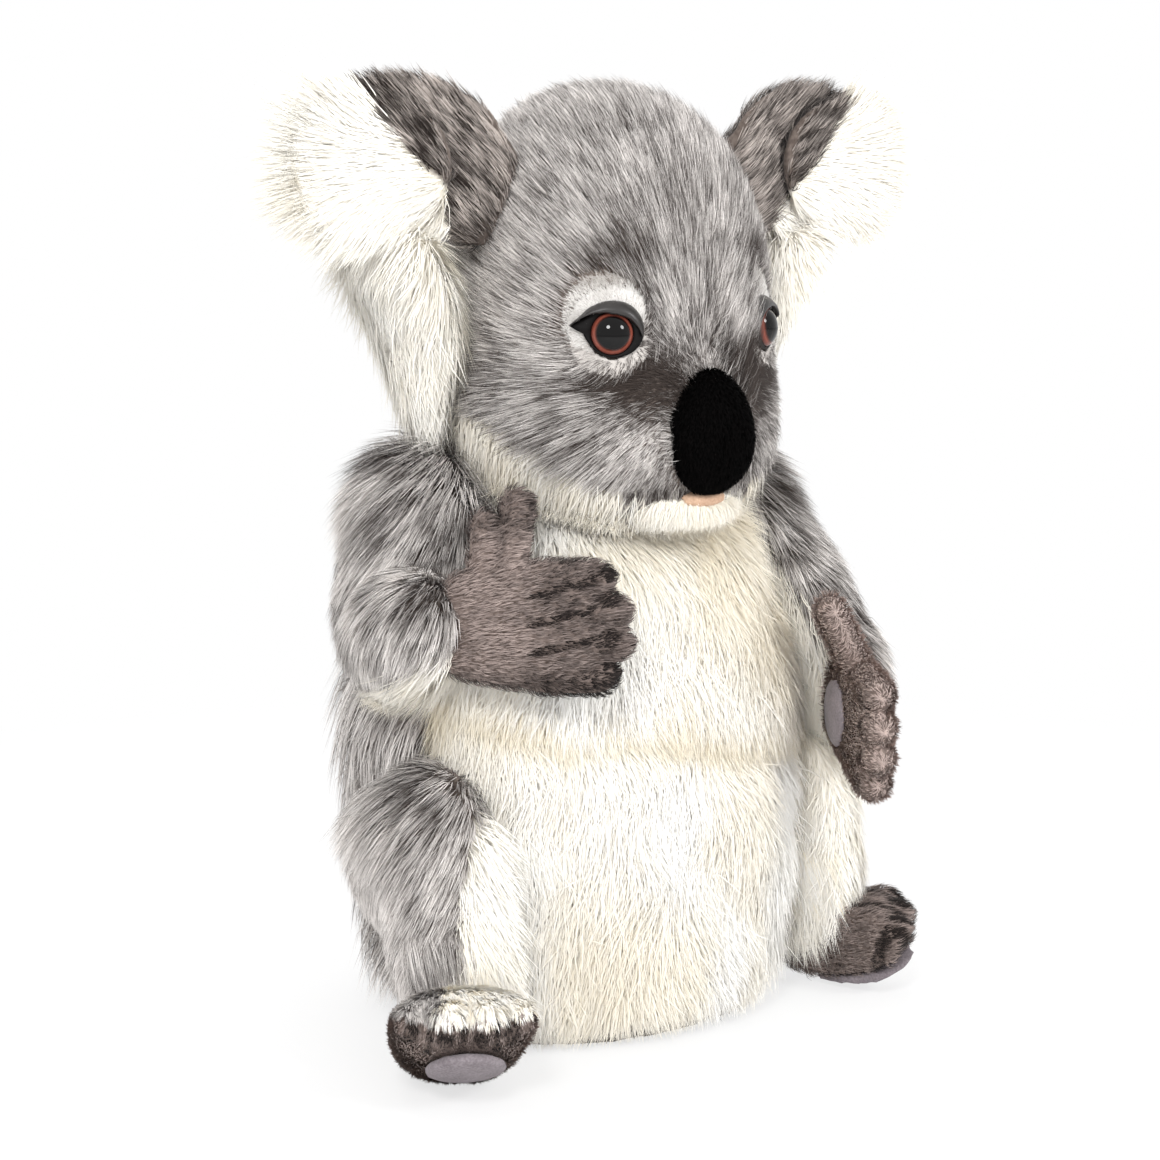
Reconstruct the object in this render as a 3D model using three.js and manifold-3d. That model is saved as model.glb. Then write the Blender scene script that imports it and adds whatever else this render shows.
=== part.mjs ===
// Seated plush koala. Millimetres, +Z up, standing on z = 0. It faces -Y, and its own right side is -X.
// A place is written as how far out to the side, how far back (minus is forward) and how far up it is.
import * as THREE from "three";
import { mergeVertices } from "three/addons/utils/BufferGeometryUtils.js";
import Module from "manifold-3d";

const wasm = await Module();
wasm.setup();

const RIGHT = -1;
const LEFT = 1;
const QUARTER_TURN = Math.PI / 2;
const HALF_TURN = Math.PI;
const radians = THREE.MathUtils.degToRad;

// Clearances that every group shares.
const seamGap = 0.4; // between pieces that are sewn or seated against each other
const turnGap = 0.9; // between pieces that turn against each other
const rimGap = 1.1; // round a flap, whose rim is drawn in sharply
const overrun = 4; // how far a cutter runs past what it cuts
const reach = 300; // how far a cutter that parts two bodies runs out from its joint
const weld = 0.0005; // corners closer than this are one

// How finely curved surfaces are faceted.
const facets = { turned: 18, cone: 28, ball: 20, trunk: 26, limb: 14, pad: 12, finger: 6, tip: 3, arc: 5 };

// Trunk: a pear standing on a flat base, the shoulders narrower than the seat.
const torso = { height: 172, halfWidth: 61, front: 50, back: 60, offset: 4, squareness: 2.3, rings: 16 };
const torsoEndShare = 0.3;
// Rows are: up the height, half width, front depth, back depth.
const torsoShares = [
  [0, 0.82, 0.88, 0.84],
  [0.07, 0.9, 0.96, 0.93],
  [0.22, 0.96, 1, 0.99],
  [0.42, 1, 0.98, 1],
  [0.58, 0.98, 0.9, 0.95],
  [0.74, 0.83, 0.8, 0.8],
  [0.9, 0.73, 0.74, 0.62],
  [1, 0.68, 0.7, 0.56],
];
const base = { thickness: 2.6, inset: 1.5 };
const pelletBag = { halfWidth: 34, halfDepth: 30, height: 24, rings: 8 };
const pelletBagRoundShare = 0.55;
const belly = { thickness: 3.6, seamForward: 6, hem: 3 };

// Neck: a stuffed ball between trunk and head, on an axis that leans forward.
// The two falls are the slopes, in degrees, of the surfaces above and below the joint.
const neck = { radius: 25, up: 162, back: 4, lean: 18, torsoFall: 15, headFall: 3 };

// Head: an upright egg that widens at the cheeks, with a low snout cushion.
const head = {
  bottom: 138,
  height: 121,
  halfWidth: 45,
  front: 46,
  back: 37,
  offset: -4,
  squareness: 2.2,
  rings: 16,
  startShare: 0.16,
  endShare: 0.42,
};
const headShares = [
  [0, 0.78, 0.92, 0.7],
  [0.18, 0.93, 1, 0.83],
  [0.32, 1.01, 1.03, 0.96],
  [0.52, 1.01, 0.96, 1],
  [0.7, 1, 0.93, 1],
  [0.86, 0.99, 0.92, 0.97],
  [1, 0.96, 0.9, 0.92],
];
const snout = { halfWidth: 24, depth: 15, halfHeight: 18, back: -39, up: 166 };
const nose = { halfWidth: 15.8, depth: 10.5, halfHeight: 16.3, back: -51, up: 170.1, topTaperShare: 0.36 };
const lip = { halfWidth: 8, depth: 4.5, halfHeight: 2.6, back: -48.5, up: 151.8 };
const chin = { halfWidth: 18, depth: 13, halfHeight: 6.2, back: -38, up: 150.6 };

// Eyes: domed plastic eyes on a shank, held by a washer inside the stuffing.
const eye = { radius: 6, bulge: 5, rim: 1, shankRadius: 1.9, shankLength: 12, turn: 58, heightShare: 0.484 };
const washer = { radius: 7.5, thickness: 1.6, depth: 8.5 };
const eyePatch = { halfWidth: 11.5, halfHeight: 12.5, thickness: 1.4 };
const eyelid = { thickness: 0.9, lift: 2.1, tilt: 24 };

// Ears: cupped oval flaps, white pile in front and a long white fringe down the side of the head.
const ear = {
  halfWidth: 31,
  thickness: 7,
  halfHeight: 21,
  cup: 5,
  outwards: 23, // from the head's side
  back: -10,
  up: 242,
  lean: 1, // degrees that the outer edge hangs down
  sweep: 10, // degrees that the outer edge points back
};
const earRoot = { halfWidth: 14, thickness: 8, halfHeight: 16, cup: 0, inwards: 22, back: 2.5, drop: 8 };
const earLining = { halfWidth: 23, thickness: 8, halfHeight: 18, outwards: 11, drop: 1.5, forward: 4.5 };
const fringe = {
  halfWidth: 18,
  thickness: 7,
  startShare: 0.2,
  endShare: 0.3,
  rings: 8,
  top: { outwards: 29, back: -2, up: 229 },
  middle: { outwards: 14, back: 2, up: 200 },
  tip: { outwards: 6, back: 8, up: 169 },
};
const fringeShares = [
  [0, 0.9, 0.9, 0.9],
  [0.35, 1, 1, 1],
  [0.7, 0.62, 0.8, 0.8],
  [1, 0.3, 0.4, 0.4],
];

// Arms meet the trunk on wide cones, so that they can swing about the X axis.
const shoulder = { out: 45, back: 12, drop: 26, coneOut: 40, coneSlope: 0.35 };
const upperArm = { halfWidth: 19, halfDepth: 20, roundShare: 0.3, startShare: 0.88, endShare: 0.8, rings: 8 };
const shoulderPlace = { ...shoulder, up: torso.height - shoulder.drop };
const upperArmShares = [
  [0, 0.96, 0.98, 0.98],
  [0.5, 1, 1, 1],
  [1, 0.92, 0.9, 0.9],
];
const forearm = { halfWidth: 17, halfDepth: 16, roundShare: 0.3, startShare: 0.7, endShare: 0.6, rings: 8 };
const forearmShares = [
  [0, 0.96, 0.98, 0.98],
  [0.55, 0.88, 0.9, 0.9],
  [1, 0.74, 0.74, 0.74],
];
// Places down an arm are written from its shoulder's height.
const rightElbow = { out: 65, back: -5, drop: 30 };
const rightWrist = { out: 73, back: -23, drop: 25 };
const leftElbow = { out: 66, back: -15, drop: 41 };
const leftWrist = { out: 70, back: -29, drop: 57 };
// Degrees that the fingers point inwards from straight ahead, and downwards.
const armPose = {
  [RIGHT]: { elbow: rightElbow, wrist: rightWrist, handTurn: 49, handDrop: 0 },
  [LEFT]: { elbow: leftElbow, wrist: leftWrist, handTurn: 30, handDrop: 8 },
};
// The sleeve ends, and the hand begins, a little past the centre of the wrist's ball.
const wristBall = { radius: 11, sleeveOver: 2.5, handOver: 6 };

// Hands: a flat palm, four fingers side by side and a split thumb that stands up.
const hand = {
  tipRun: 55,
  halfWidth: 16,
  halfThickness: 6.5,
  squareness: 2.4,
  startShare: 0.15,
  endShare: 0.2,
  palmEndShare: 0.9,
  rings: 8,
};
const handShares = [
  [0, 0.7, 1, 1],
  [0.45, 1, 1, 1],
  [0.78, 0.98, 0.85, 0.85],
  [1, 0.9, 0.7, 0.7],
];
const finger = { radius: 4.9, startShare: 0.56, spreadShare: 0.87 };
const fingerReachShares = [0.93, 1, 0.99, 0.91];
const thumb = {
  radius: 4.4,
  rise: 21.5,
  alongShare: 0.4,
  lean: 6, // degrees towards the fingers
  inwards: 26, // degrees towards the palm
  twinRadius: 3.6,
  twinRise: 16,
  twinBack: 6.5,
};
const palmPad = { halfLength: 12, halfWidth: 10, halfThickness: 2.4, alongShare: 0.42 };

// Legs: thigh and shin beside the belly, parted from the trunk by cones.
const hip = { out: 49, back: 16, up: 40, coneOut: 43, coneSlope: 0.3 };
const thigh = { halfWidth: 17, halfDepth: 20, roundShare: 0.42, startShare: 0.6, endShare: 0.7, rings: 8 };
const shin = { halfWidth: 17, halfDepth: 17, roundShare: 0.3, startShare: 0.7, endShare: 0.3, rings: 8 };
const limbShares = [
  [0, 1, 1, 1],
  [0.5, 1, 1, 1],
  [1, 0.95, 0.95, 0.95],
];
const legStart = { out: 56, back: 11, up: 41 };
const rightKnee = { out: 62, back: -18, up: 66 };
const rightAnkle = { out: 67, back: -29, up: 19 };
const rightHeel = { out: 71, back: -36 };
const leftKnee = { out: 62, back: -18, up: 61 };
const leftAnkle = { out: 60, back: -25, up: 19 };
const leftHeel = { out: 54, back: -27 };
// Degrees that the toes point outwards and upwards, and that the foot's inner edge hangs down.
const legPose = {
  [RIGHT]: { knee: rightKnee, ankle: rightAnkle, heel: rightHeel, footTurn: 30, footPitch: 28, footRoll: 0 },
  [LEFT]: { knee: leftKnee, ankle: leftAnkle, heel: leftHeel, footTurn: 42, footPitch: 18, footRoll: 16 },
};
const foot = {
  tipRun: 47,
  halfWidth: 18.5,
  halfHeight: 10.5,
  squareness: 2.3,
  roundShare: 0.25,
  padEndShare: 0.95,
  lift: 0.4,
  rings: 8,
};
const footShares = [
  [0, 0.86, 1, 1],
  [0.45, 0.98, 1, 1],
  [0.8, 1, 0.82, 0.82],
  [1, 0.92, 0.66, 0.66],
];
const toe = { radius: 5, startShare: 0.62, spreadShare: 0.92 };
const toeReachShares = [0.92, 1, 0.99, 0.9];
const solePad = { halfLength: 16, halfWidth: 11, halfThickness: 3, alongShare: 0.62 };

const colours = {
  greyPlush: 0x8f857f,
  whitePlush: 0xf3f0e8,
  taupePlush: 0x7a6b64,
  lilacSuede: 0x948d92,
  blackVelvet: 0x100c0b,
  blackGloss: 0x0a0708,
  blackVinyl: 0x1f1d1c,
  peachFelt: 0xc9a58c,
  calico: 0xd8cdb8,
  whitePlastic: 0xe9e9e6,
};
const slots = {
  greyPlush: { roughness: 0.95 },
  whitePlush: { roughness: 0.95 },
  taupePlush: { roughness: 0.92 },
  lilacSuede: { roughness: 0.85 },
  blackVelvet: { roughness: 0.9 },
  blackGloss: { roughness: 0.12 },
  blackVinyl: { roughness: 0.35 },
  peachFelt: { roughness: 0.9 },
  calico: { roughness: 0.9 },
  whitePlastic: { roughness: 0.45 },
};

const koala = new THREE.Group();
koala.name = "plush_koala";

function vectorAt(side, place) {
  return new THREE.Vector3(side * place.out, place.back, place.up);
}

// A place on the head, written from its side, and one down the arm, written from its shoulder.
const besideHead = ({ outwards, back, up }) => ({ out: head.halfWidth + outwards, back, up });
const belowShoulder = ({ out, back, drop }) => ({ out, back, up: shoulderPlace.up - drop });

function named(side, name) {
  return (side === RIGHT ? "right_" : "left_") + name;
}

// Turns a closed geometry into a solid, whichever way its faces were wound.
function solidFrom(geometry) {
  const bare = new THREE.BufferGeometry();
  bare.setAttribute("position", geometry.getAttribute("position"));
  if (geometry.index) bare.setIndex(geometry.index);
  const merged = mergeVertices(bare, weld);
  const vertProperties = merged.attributes.position.array;
  const corners = merged.index.array;
  const kept = [];
  for (let i = 0; i < corners.length; i += 3) {
    const [a, b, c] = [corners[i], corners[i + 1], corners[i + 2]];
    if (a !== b && b !== c && c !== a) kept.push(a, b, c);
  }
  const solid = new wasm.Manifold(new wasm.Mesh({ numProp: 3, vertProperties, triVerts: new Uint32Array(kept) }));
  if (solid.volume() > 0) return solid;
  for (let i = 0; i < kept.length; i += 3) [kept[i + 1], kept[i + 2]] = [kept[i + 2], kept[i + 1]];
  return new wasm.Manifold(new wasm.Mesh({ numProp: 3, vertProperties, triVerts: new Uint32Array(kept) }));
}

function geometryFrom(solid) {
  const mesh = solid.getMesh();
  const geometry = new THREE.BufferGeometry();
  geometry.setAttribute("position", new THREE.BufferAttribute(new Float32Array(mesh.vertProperties), 3));
  geometry.setIndex(new THREE.BufferAttribute(new Uint32Array(mesh.triVerts), 1));
  geometry.computeVertexNormals();
  return geometry;
}

// Cutting can leave crumbs, so only the largest body is kept.
function largestBody(solid) {
  return solid.decompose().reduce((best, body) => (body.volume() > best.volume() ? body : best));
}

function addPiece(name, slot, solid) {
  const material = new THREE.MeshStandardMaterial({
    color: colours[slot],
    roughness: slots[slot].roughness,
    metalness: 0,
  });
  const mesh = new THREE.Mesh(geometryFrom(largestBody(solid)), material);
  mesh.name = name;
  koala.add(mesh);
}

// Rows of [share along, ...values], joined by a smooth curve through every row.
function rowAt(rows, t) {
  const last = rows.length - 1;
  let i = 0;
  while (i < last - 1 && t > rows[i + 1][0]) i += 1;
  const span = rows[i + 1][0] - rows[i][0];
  const s = (t - rows[i][0]) / span;
  const slope = (k, column) => {
    const from = rows[Math.max(k - 1, 0)];
    const to = rows[Math.min(k + 1, last)];
    return (to[column] - from[column]) / (to[0] - from[0]);
  };
  return rows[i].slice(1).map((from, j) => {
    const column = j + 1;
    const to = rows[i + 1][column];
    const rise = slope(i, column) * span;
    const fall = slope(i + 1, column) * span;
    const s2 = s * s;
    const s3 = s2 * s;
    return (2 * s3 - 3 * s2 + 1) * from + (s3 - 2 * s2 + s) * rise + (3 * s2 - 2 * s3) * to + (s3 - s2) * fall;
  });
}

// A stuffed form: rounded sections carried along a path and drawn in to a point at its round ends.
// Its surface is a function of how far along the path and how far round the section a point is.
function stuffedForm(spec) {
  const { path, halfWidth, front, back, shares, sideways, around, rings } = spec;
  const { startShare = 0, endShare = 0, squareness = 2 } = spec;
  const curve = new THREE.CatmullRomCurve3(path, false, "centripetal");
  const power = 2 / squareness;
  const drawIn = (t) => {
    const start = startShare > 0 ? Math.max(0, 1 - t / startShare) : 0;
    const end = endShare > 0 ? Math.max(0, 1 - (1 - t) / endShare) : 0;
    return Math.sqrt(Math.max(0, 1 - start * start)) * Math.sqrt(Math.max(0, 1 - end * end));
  };
  const frameAt = (t) => {
    const along = curve.getTangent(t);
    const side = sideways.clone().addScaledVector(along, -sideways.dot(along)).normalize();
    return { along, side, deep: new THREE.Vector3().crossVectors(along, side) };
  };
  const centreAt = (t, grow = 0) => {
    return curve.getPoint(t).addScaledVector(frameAt(t).along, grow * (2 * t - 1));
  };
  const pointAt = (t, turn, grow = 0) => {
    const { side, deep } = frameAt(t);
    const [wide, ahead, behind] = rowAt(shares, t);
    const cosine = Math.cos(turn);
    const sine = Math.sin(turn);
    const depth = sine > 0 ? back * behind : front * ahead;
    const scale = drawIn(t);
    return centreAt(t, grow)
      .addScaledVector(side, scale * (halfWidth * wide + grow) * Math.sign(cosine) * Math.abs(cosine) ** power)
      .addScaledVector(deep, scale * (depth + grow) * Math.sign(sine) * Math.abs(sine) ** power);
  };
  const solid = (grow = 0) => {
    const places = [];
    const corners = [];
    const even = (i) => i / rings;
    const along = (i) => {
      if (startShare > 0 && endShare > 0) return (1 - Math.cos(HALF_TURN * even(i))) / 2;
      return endShare > 0 ? Math.sin(QUARTER_TURN * even(i)) : even(i);
    };
    for (let i = 0; i <= rings; i += 1) {
      const pole = (i === 0 && startShare > 0) || (i === rings && endShare > 0);
      for (let j = 0; j < around; j += 1) {
        const turn = (2 * HALF_TURN * j) / around;
        places.push(...(pole ? centreAt(along(i), grow) : pointAt(along(i), turn, grow)).toArray());
      }
    }
    for (let i = 0; i < rings; i += 1) {
      for (let j = 0; j < around; j += 1) {
        const k = (j + 1) % around;
        const [a, b, c, d] = [i * around + j, i * around + k, (i + 1) * around + k, (i + 1) * around + j];
        corners.push(a, b, c, a, c, d);
      }
    }
    [0, rings].forEach((i) => {
      const pole = (i === 0 && startShare > 0) || (i === rings && endShare > 0);
      if (pole) return;
      const middle = places.length / 3;
      places.push(...centreAt(along(i), grow).toArray());
      for (let j = 0; j < around; j += 1) {
        const [a, b] = [i * around + j, i * around + ((j + 1) % around)];
        corners.push(...(i === 0 ? [middle, b, a] : [middle, a, b]));
      }
    });
    const geometry = new THREE.BufferGeometry();
    geometry.setAttribute("position", new THREE.Float32BufferAttribute(places, 3));
    geometry.setIndex(corners);
    return solidFrom(geometry);
  };
  // The direction that the surface faces, from two small steps along and round it.
  const normalAt = (t, turn) => {
    const step = 0.01;
    const alongStep = pointAt(t + step, turn).sub(pointAt(t - step, turn));
    const roundStep = pointAt(t, turn + step).sub(pointAt(t, turn - step));
    return roundStep.cross(alongStep).normalize();
  };
  return { pointAt, normalAt, solid };
}

function ellipsoid(halfWidth, depth, halfHeight, place, around = facets.turned) {
  const geometry = new THREE.SphereGeometry(1, around, around / 2);
  geometry.scale(halfWidth, halfHeight, depth);
  geometry.rotateX(QUARTER_TURN);
  geometry.translate(place.x, place.y, place.z);
  return solidFrom(geometry);
}

function ball(radius, place, around = facets.ball) {
  return ellipsoid(radius, radius, radius, place, around);
}

// A revolved solid on any axis: its profile rows are [out from the axis, along the axis].
function revolved(profile, place, axis, segments = facets.turned) {
  const points = profile.map(([out, along]) => new THREE.Vector2(out, along));
  const geometry = new THREE.LatheGeometry(points, segments);
  geometry.applyQuaternion(new THREE.Quaternion().setFromUnitVectors(new THREE.Vector3(0, 1, 0), axis));
  geometry.translate(place.x, place.y, place.z);
  return solidFrom(geometry);
}

// A box that fills one side of a plane square to an axis.
function halfSpace(place, outwards) {
  const geometry = new THREE.BoxGeometry(2 * reach, 2 * reach, 2 * reach);
  geometry.translate(0, reach, 0);
  geometry.applyQuaternion(new THREE.Quaternion().setFromUnitVectors(new THREE.Vector3(0, 1, 0), outwards));
  geometry.translate(place.x, place.y, place.z);
  return solidFrom(geometry);
}

function capsule(radius, from, to) {
  const run = new THREE.Vector3().subVectors(to, from);
  const geometry = new THREE.CapsuleGeometry(radius, run.length(), facets.tip, facets.finger);
  geometry.applyQuaternion(
    new THREE.Quaternion().setFromUnitVectors(new THREE.Vector3(0, 1, 0), run.clone().normalize()),
  );
  const middle = from.clone().lerp(to, 1 / 2);
  geometry.translate(middle.x, middle.y, middle.z);
  return solidFrom(geometry);
}

// A flattened pad: its sizes run along, across and through, on the three axes of a hand or foot.
function padSolid(spec, place, { ahead, across: sideways, out }) {
  const geometry = new THREE.SphereGeometry(1, facets.pad, facets.pad / 2);
  geometry.scale(spec.halfLength, spec.halfWidth, spec.halfThickness);
  geometry.applyMatrix4(new THREE.Matrix4().makeBasis(ahead, sideways, out));
  geometry.translate(place.x, place.y, place.z);
  return solidFrom(geometry);
}

const across = new THREE.Vector3(1, 0, 0);
const upward = new THREE.Vector3(0, 0, 1);
const forward = new THREE.Vector3(0, -1, 0);

// Neck axis and the two cones that keep head and trunk apart as the head turns and nods.
const neckCentre = new THREE.Vector3(0, neck.back, neck.up);
const neckAxis = upward.clone().applyAxisAngle(across, radians(neck.lean));
const fallAt = (degrees) => reach * Math.tan(radians(degrees));
const aboveTorso = revolved(
  [[0, 0], [reach, -fallAt(neck.torsoFall)], [reach, reach], [0, reach]],
  neckCentre,
  neckAxis,
  facets.cone,
);
const belowHead = revolved(
  [[0, -reach], [reach, -reach], [reach, -fallAt(neck.headFall)], [0, 0]],
  neckCentre,
  neckAxis,
  facets.cone,
);
const neckSocket = ball(neck.radius + turnGap, neckCentre);

// Everything further out than the cone of a shoulder or hip belongs to the limb.
function outsideCone(joint, side, gap) {
  const place = new THREE.Vector3(side * (joint.coneOut + gap), joint.back, joint.up);
  const slope = reach * joint.coneSlope;
  const axis = new THREE.Vector3(side, 0, 0);
  return revolved([[0, 0], [reach, slope], [reach, reach], [0, reach]], place, axis, facets.cone);
}

const sides = [RIGHT, LEFT];
const lessCones = (solid, joint) => sides.reduce((left, side) => left.subtract(outsideCone(joint, side, 0)), solid);

// Trunk with its flat base.
const torsoForm = stuffedForm({
  path: [0, 1].map((share) => new THREE.Vector3(0, torso.offset, share * torso.height)),
  halfWidth: torso.halfWidth,
  front: torso.front,
  back: torso.back,
  shares: torsoShares,
  sideways: across,
  endShare: torsoEndShare,
  squareness: torso.squareness,
  around: facets.trunk,
  rings: torso.rings,
});
const baseTop = base.thickness + seamGap;
const bagForm = stuffedForm({
  path: [0, 1].map((share) => new THREE.Vector3(0, torso.offset, baseTop + share * pelletBag.height)),
  halfWidth: pelletBag.halfWidth,
  front: pelletBag.halfDepth,
  back: pelletBag.halfDepth,
  shares: limbShares,
  sideways: across,
  endShare: pelletBagRoundShare,
  around: facets.limb,
  rings: pelletBag.rings,
});
const bellyZone = (gap) => halfSpace(new THREE.Vector3(0, gap - belly.seamForward, 0), forward)
  .intersect(halfSpace(new THREE.Vector3(0, 0, baseTop + belly.hem - gap), upward));
const trunkTrim = (solid) => lessCones(lessCones(solid, shoulderPlace), hip)
  .subtract(aboveTorso)
  .subtract(neckSocket)
  .intersect(halfSpace(new THREE.Vector3(0, 0, baseTop), upward));

function addTrunk() {
  const cored = (depth) => torsoForm.solid(-depth).subtract(aboveTorso.translate([0, 0, -depth]));
  const panel = torsoForm.solid().subtract(cored(belly.thickness)).intersect(bellyZone(0));
  const panelSeat = torsoForm.solid(overrun).subtract(cored(belly.thickness + seamGap)).intersect(bellyZone(seamGap));
  const trunk = trunkTrim(torsoForm.solid()).subtract(panelSeat).subtract(bagForm.solid(seamGap));
  addPiece("torso", "greyPlush", trunk);
  addPiece("belly_panel", "whitePlush", trunkTrim(panel));
  addPiece("pellet_bag", "calico", bagForm.solid());
  const outline = new THREE.Shape(
    Array.from({ length: facets.trunk }, (_, j) => {
      const place = torsoForm.pointAt(0, (2 * HALF_TURN * j) / facets.trunk, -base.inset);
      return new THREE.Vector2(place.x, place.y);
    }),
  );
  const floorPiece = new THREE.ExtrudeGeometry(outline, { depth: base.thickness, bevelEnabled: false });
  addPiece("base_panel", "greyPlush", lessCones(solidFrom(floorPiece), hip));
  addPiece("neck_plug", "whitePlush", ball(neck.radius, neckCentre));
}

// Head, with everything on the face placed from its surface.
const headForm = stuffedForm({
  path: [0, 1].map((share) => new THREE.Vector3(0, head.offset, head.bottom + share * head.height)),
  halfWidth: head.halfWidth,
  front: head.front,
  back: head.back,
  shares: headShares,
  sideways: across,
  startShare: head.startShare,
  endShare: head.endShare,
  squareness: head.squareness,
  around: facets.trunk,
  rings: head.rings,
});

function skullAt(grow) {
  const place = new THREE.Vector3(0, snout.back, snout.up);
  const { halfWidth, depth, halfHeight } = snout;
  return headForm.solid(grow).add(ellipsoid(halfWidth + grow, depth + grow, halfHeight + grow, place));
}
const skull = skullAt(0);
const skullClear = skullAt(seamGap);

function chinAt(grow) {
  const place = new THREE.Vector3(0, chin.back, chin.up);
  return ellipsoid(chin.halfWidth + grow, chin.depth + grow, chin.halfHeight + grow, place);
}

// A teardrop that is narrower at the top.
function noseAt(grow) {
  const geometry = new THREE.SphereGeometry(1, facets.turned, facets.turned / 2);
  const places = geometry.getAttribute("position");
  for (let i = 0; i < places.count; i += 1) {
    const [x, y, z] = [places.getX(i), places.getY(i), places.getZ(i)];
    const width = nose.halfWidth * (1 - (nose.topTaperShare * (y + 1)) / 2) + grow;
    places.setXYZ(i, x * width, -z * (nose.depth + grow), y * (nose.halfHeight + grow));
  }
  geometry.translate(0, nose.back, nose.up);
  return solidFrom(geometry);
}

function eyeSeat(side) {
  const turn = side === LEFT ? -radians(eye.turn) : radians(eye.turn) - HALF_TURN;
  return { place: headForm.pointAt(eye.heightShare, turn), axis: headForm.normalAt(eye.heightShare, turn) };
}

// Quarter of an oval profile, from the axis out to the rim.
function arcRows(radiusOut, radiusAlong) {
  return Array.from({ length: facets.arc + 1 }, (_, i) => {
    const turn = (QUARTER_TURN * i) / facets.arc;
    return [radiusOut * Math.sin(turn), radiusAlong * Math.cos(turn)];
  });
}

function eyeSolid({ place, axis }) {
  const rows = [
    ...arcRows(eye.radius, eye.bulge),
    [eye.radius, -eye.rim],
    [eye.shankRadius, -eye.rim],
    [eye.shankRadius, -eye.shankLength],
    [0, -eye.shankLength],
  ];
  return revolved(rows, place, axis);
}

function eyeHole({ place, axis }) {
  const mouth = overrun + eye.bulge;
  const wide = eye.radius + seamGap;
  const narrow = eye.shankRadius + seamGap;
  const pocket = washer.radius + seamGap;
  const rows = [
    [0, mouth],
    [wide, mouth],
    [wide, -eye.rim - seamGap],
    [narrow, -eye.rim - seamGap],
    [narrow, seamGap - washer.depth],
    [pocket, seamGap - washer.depth],
    [pocket, -washer.depth - washer.thickness - seamGap],
    [narrow, -washer.depth - washer.thickness - seamGap],
    [narrow, -eye.shankLength - seamGap],
    [0, -eye.shankLength - seamGap],
  ];
  return revolved(rows, place, axis);
}

function washerSolid({ place, axis }) {
  const bore = eye.shankRadius + seamGap;
  const rows = [
    [bore, -washer.depth],
    [washer.radius, -washer.depth],
    [washer.radius, -washer.depth - washer.thickness],
    [bore, -washer.depth - washer.thickness],
    [bore, -washer.depth],
  ];
  return revolved(rows, place, axis);
}

// White patch: a thin skin on the head, cut out as an oval round the eye.
function patchSolid(seat) {
  const oval = new THREE.CylinderGeometry(1, 1, 1, facets.ball);
  oval.scale(eyePatch.halfWidth, head.halfWidth, eyePatch.halfHeight);
  oval.applyQuaternion(new THREE.Quaternion().setFromUnitVectors(new THREE.Vector3(0, 1, 0), seat.axis));
  oval.translate(seat.place.x, seat.place.y, seat.place.z);
  return skullAt(eyePatch.thickness).subtract(skullClear).subtract(eyeHole(seat)).intersect(solidFrom(oval));
}

// Upper lid: part of a thin cap over the eye, cut along a line that slopes down to its outer corner.
function eyelidSolid({ place, axis }, side) {
  const cap = (grow) => revolved([...arcRows(eye.radius + grow, eye.bulge + grow), [0, 0]], place, axis);
  const edge = upward.clone().applyAxisAngle(axis, radians(-side * eyelid.tilt));
  const bed = eyePatch.thickness + seamGap;
  return cap(seamGap + eyelid.thickness)
    .subtract(cap(seamGap))
    .intersect(halfSpace(place.clone().addScaledVector(edge, eyelid.lift), edge))
    .intersect(halfSpace(place.clone().addScaledVector(axis, bed), axis))
    .subtract(skullAt(bed));
}

// A cupped oval flap that faces forward, such as an ear.
function flap(shape, place, side, grow = 0) {
  const { halfWidth, thickness, halfHeight, cup } = shape;
  const geometry = new THREE.SphereGeometry(1, facets.turned, facets.turned / 2);
  const places = geometry.getAttribute("position");
  for (let i = 0; i < places.count; i += 1) {
    const [x, y, z] = [places.getX(i), places.getY(i), places.getZ(i)];
    const sunk = cup * (1 - x * x - y * y);
    places.setXYZ(i, x * (halfWidth + grow), (z * (thickness + 2 * grow)) / 2 + sunk, y * (halfHeight + grow));
  }
  geometry.translate(place.x, place.y, place.z);
  geometry.rotateY(radians(side * ear.lean));
  geometry.rotateZ(radians(side * ear.sweep));
  const hub = vectorAt(side, besideHead(ear));
  geometry.translate(hub.x, hub.y, hub.z);
  return solidFrom(geometry);
}

// The ear narrows to a root that is sewn to the head at its lower inner edge.
function earSolid(side, grow = 0) {
  const rootPlace = new THREE.Vector3(-side * earRoot.inwards, earRoot.back, -earRoot.drop);
  return flap(ear, new THREE.Vector3(), side, grow).add(flap(earRoot, rootPlace, side, grow));
}

function liningSolid(side, grow = 0) {
  const place = new THREE.Vector3(side * earLining.outwards, -earLining.forward, -earLining.drop);
  return flap({ ...earLining, cup: ear.cup }, place, side, grow);
}

function fringeSolid(side) {
  return stuffedForm({
    path: [fringe.top, fringe.middle, fringe.tip].map((place) => vectorAt(side, besideHead(place))),
    halfWidth: fringe.halfWidth,
    front: fringe.thickness,
    back: fringe.thickness,
    shares: fringeShares,
    sideways: forward,
    startShare: fringe.startShare,
    endShare: fringe.endShare,
    around: facets.pad,
    rings: fringe.rings,
  }).solid();
}

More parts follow.
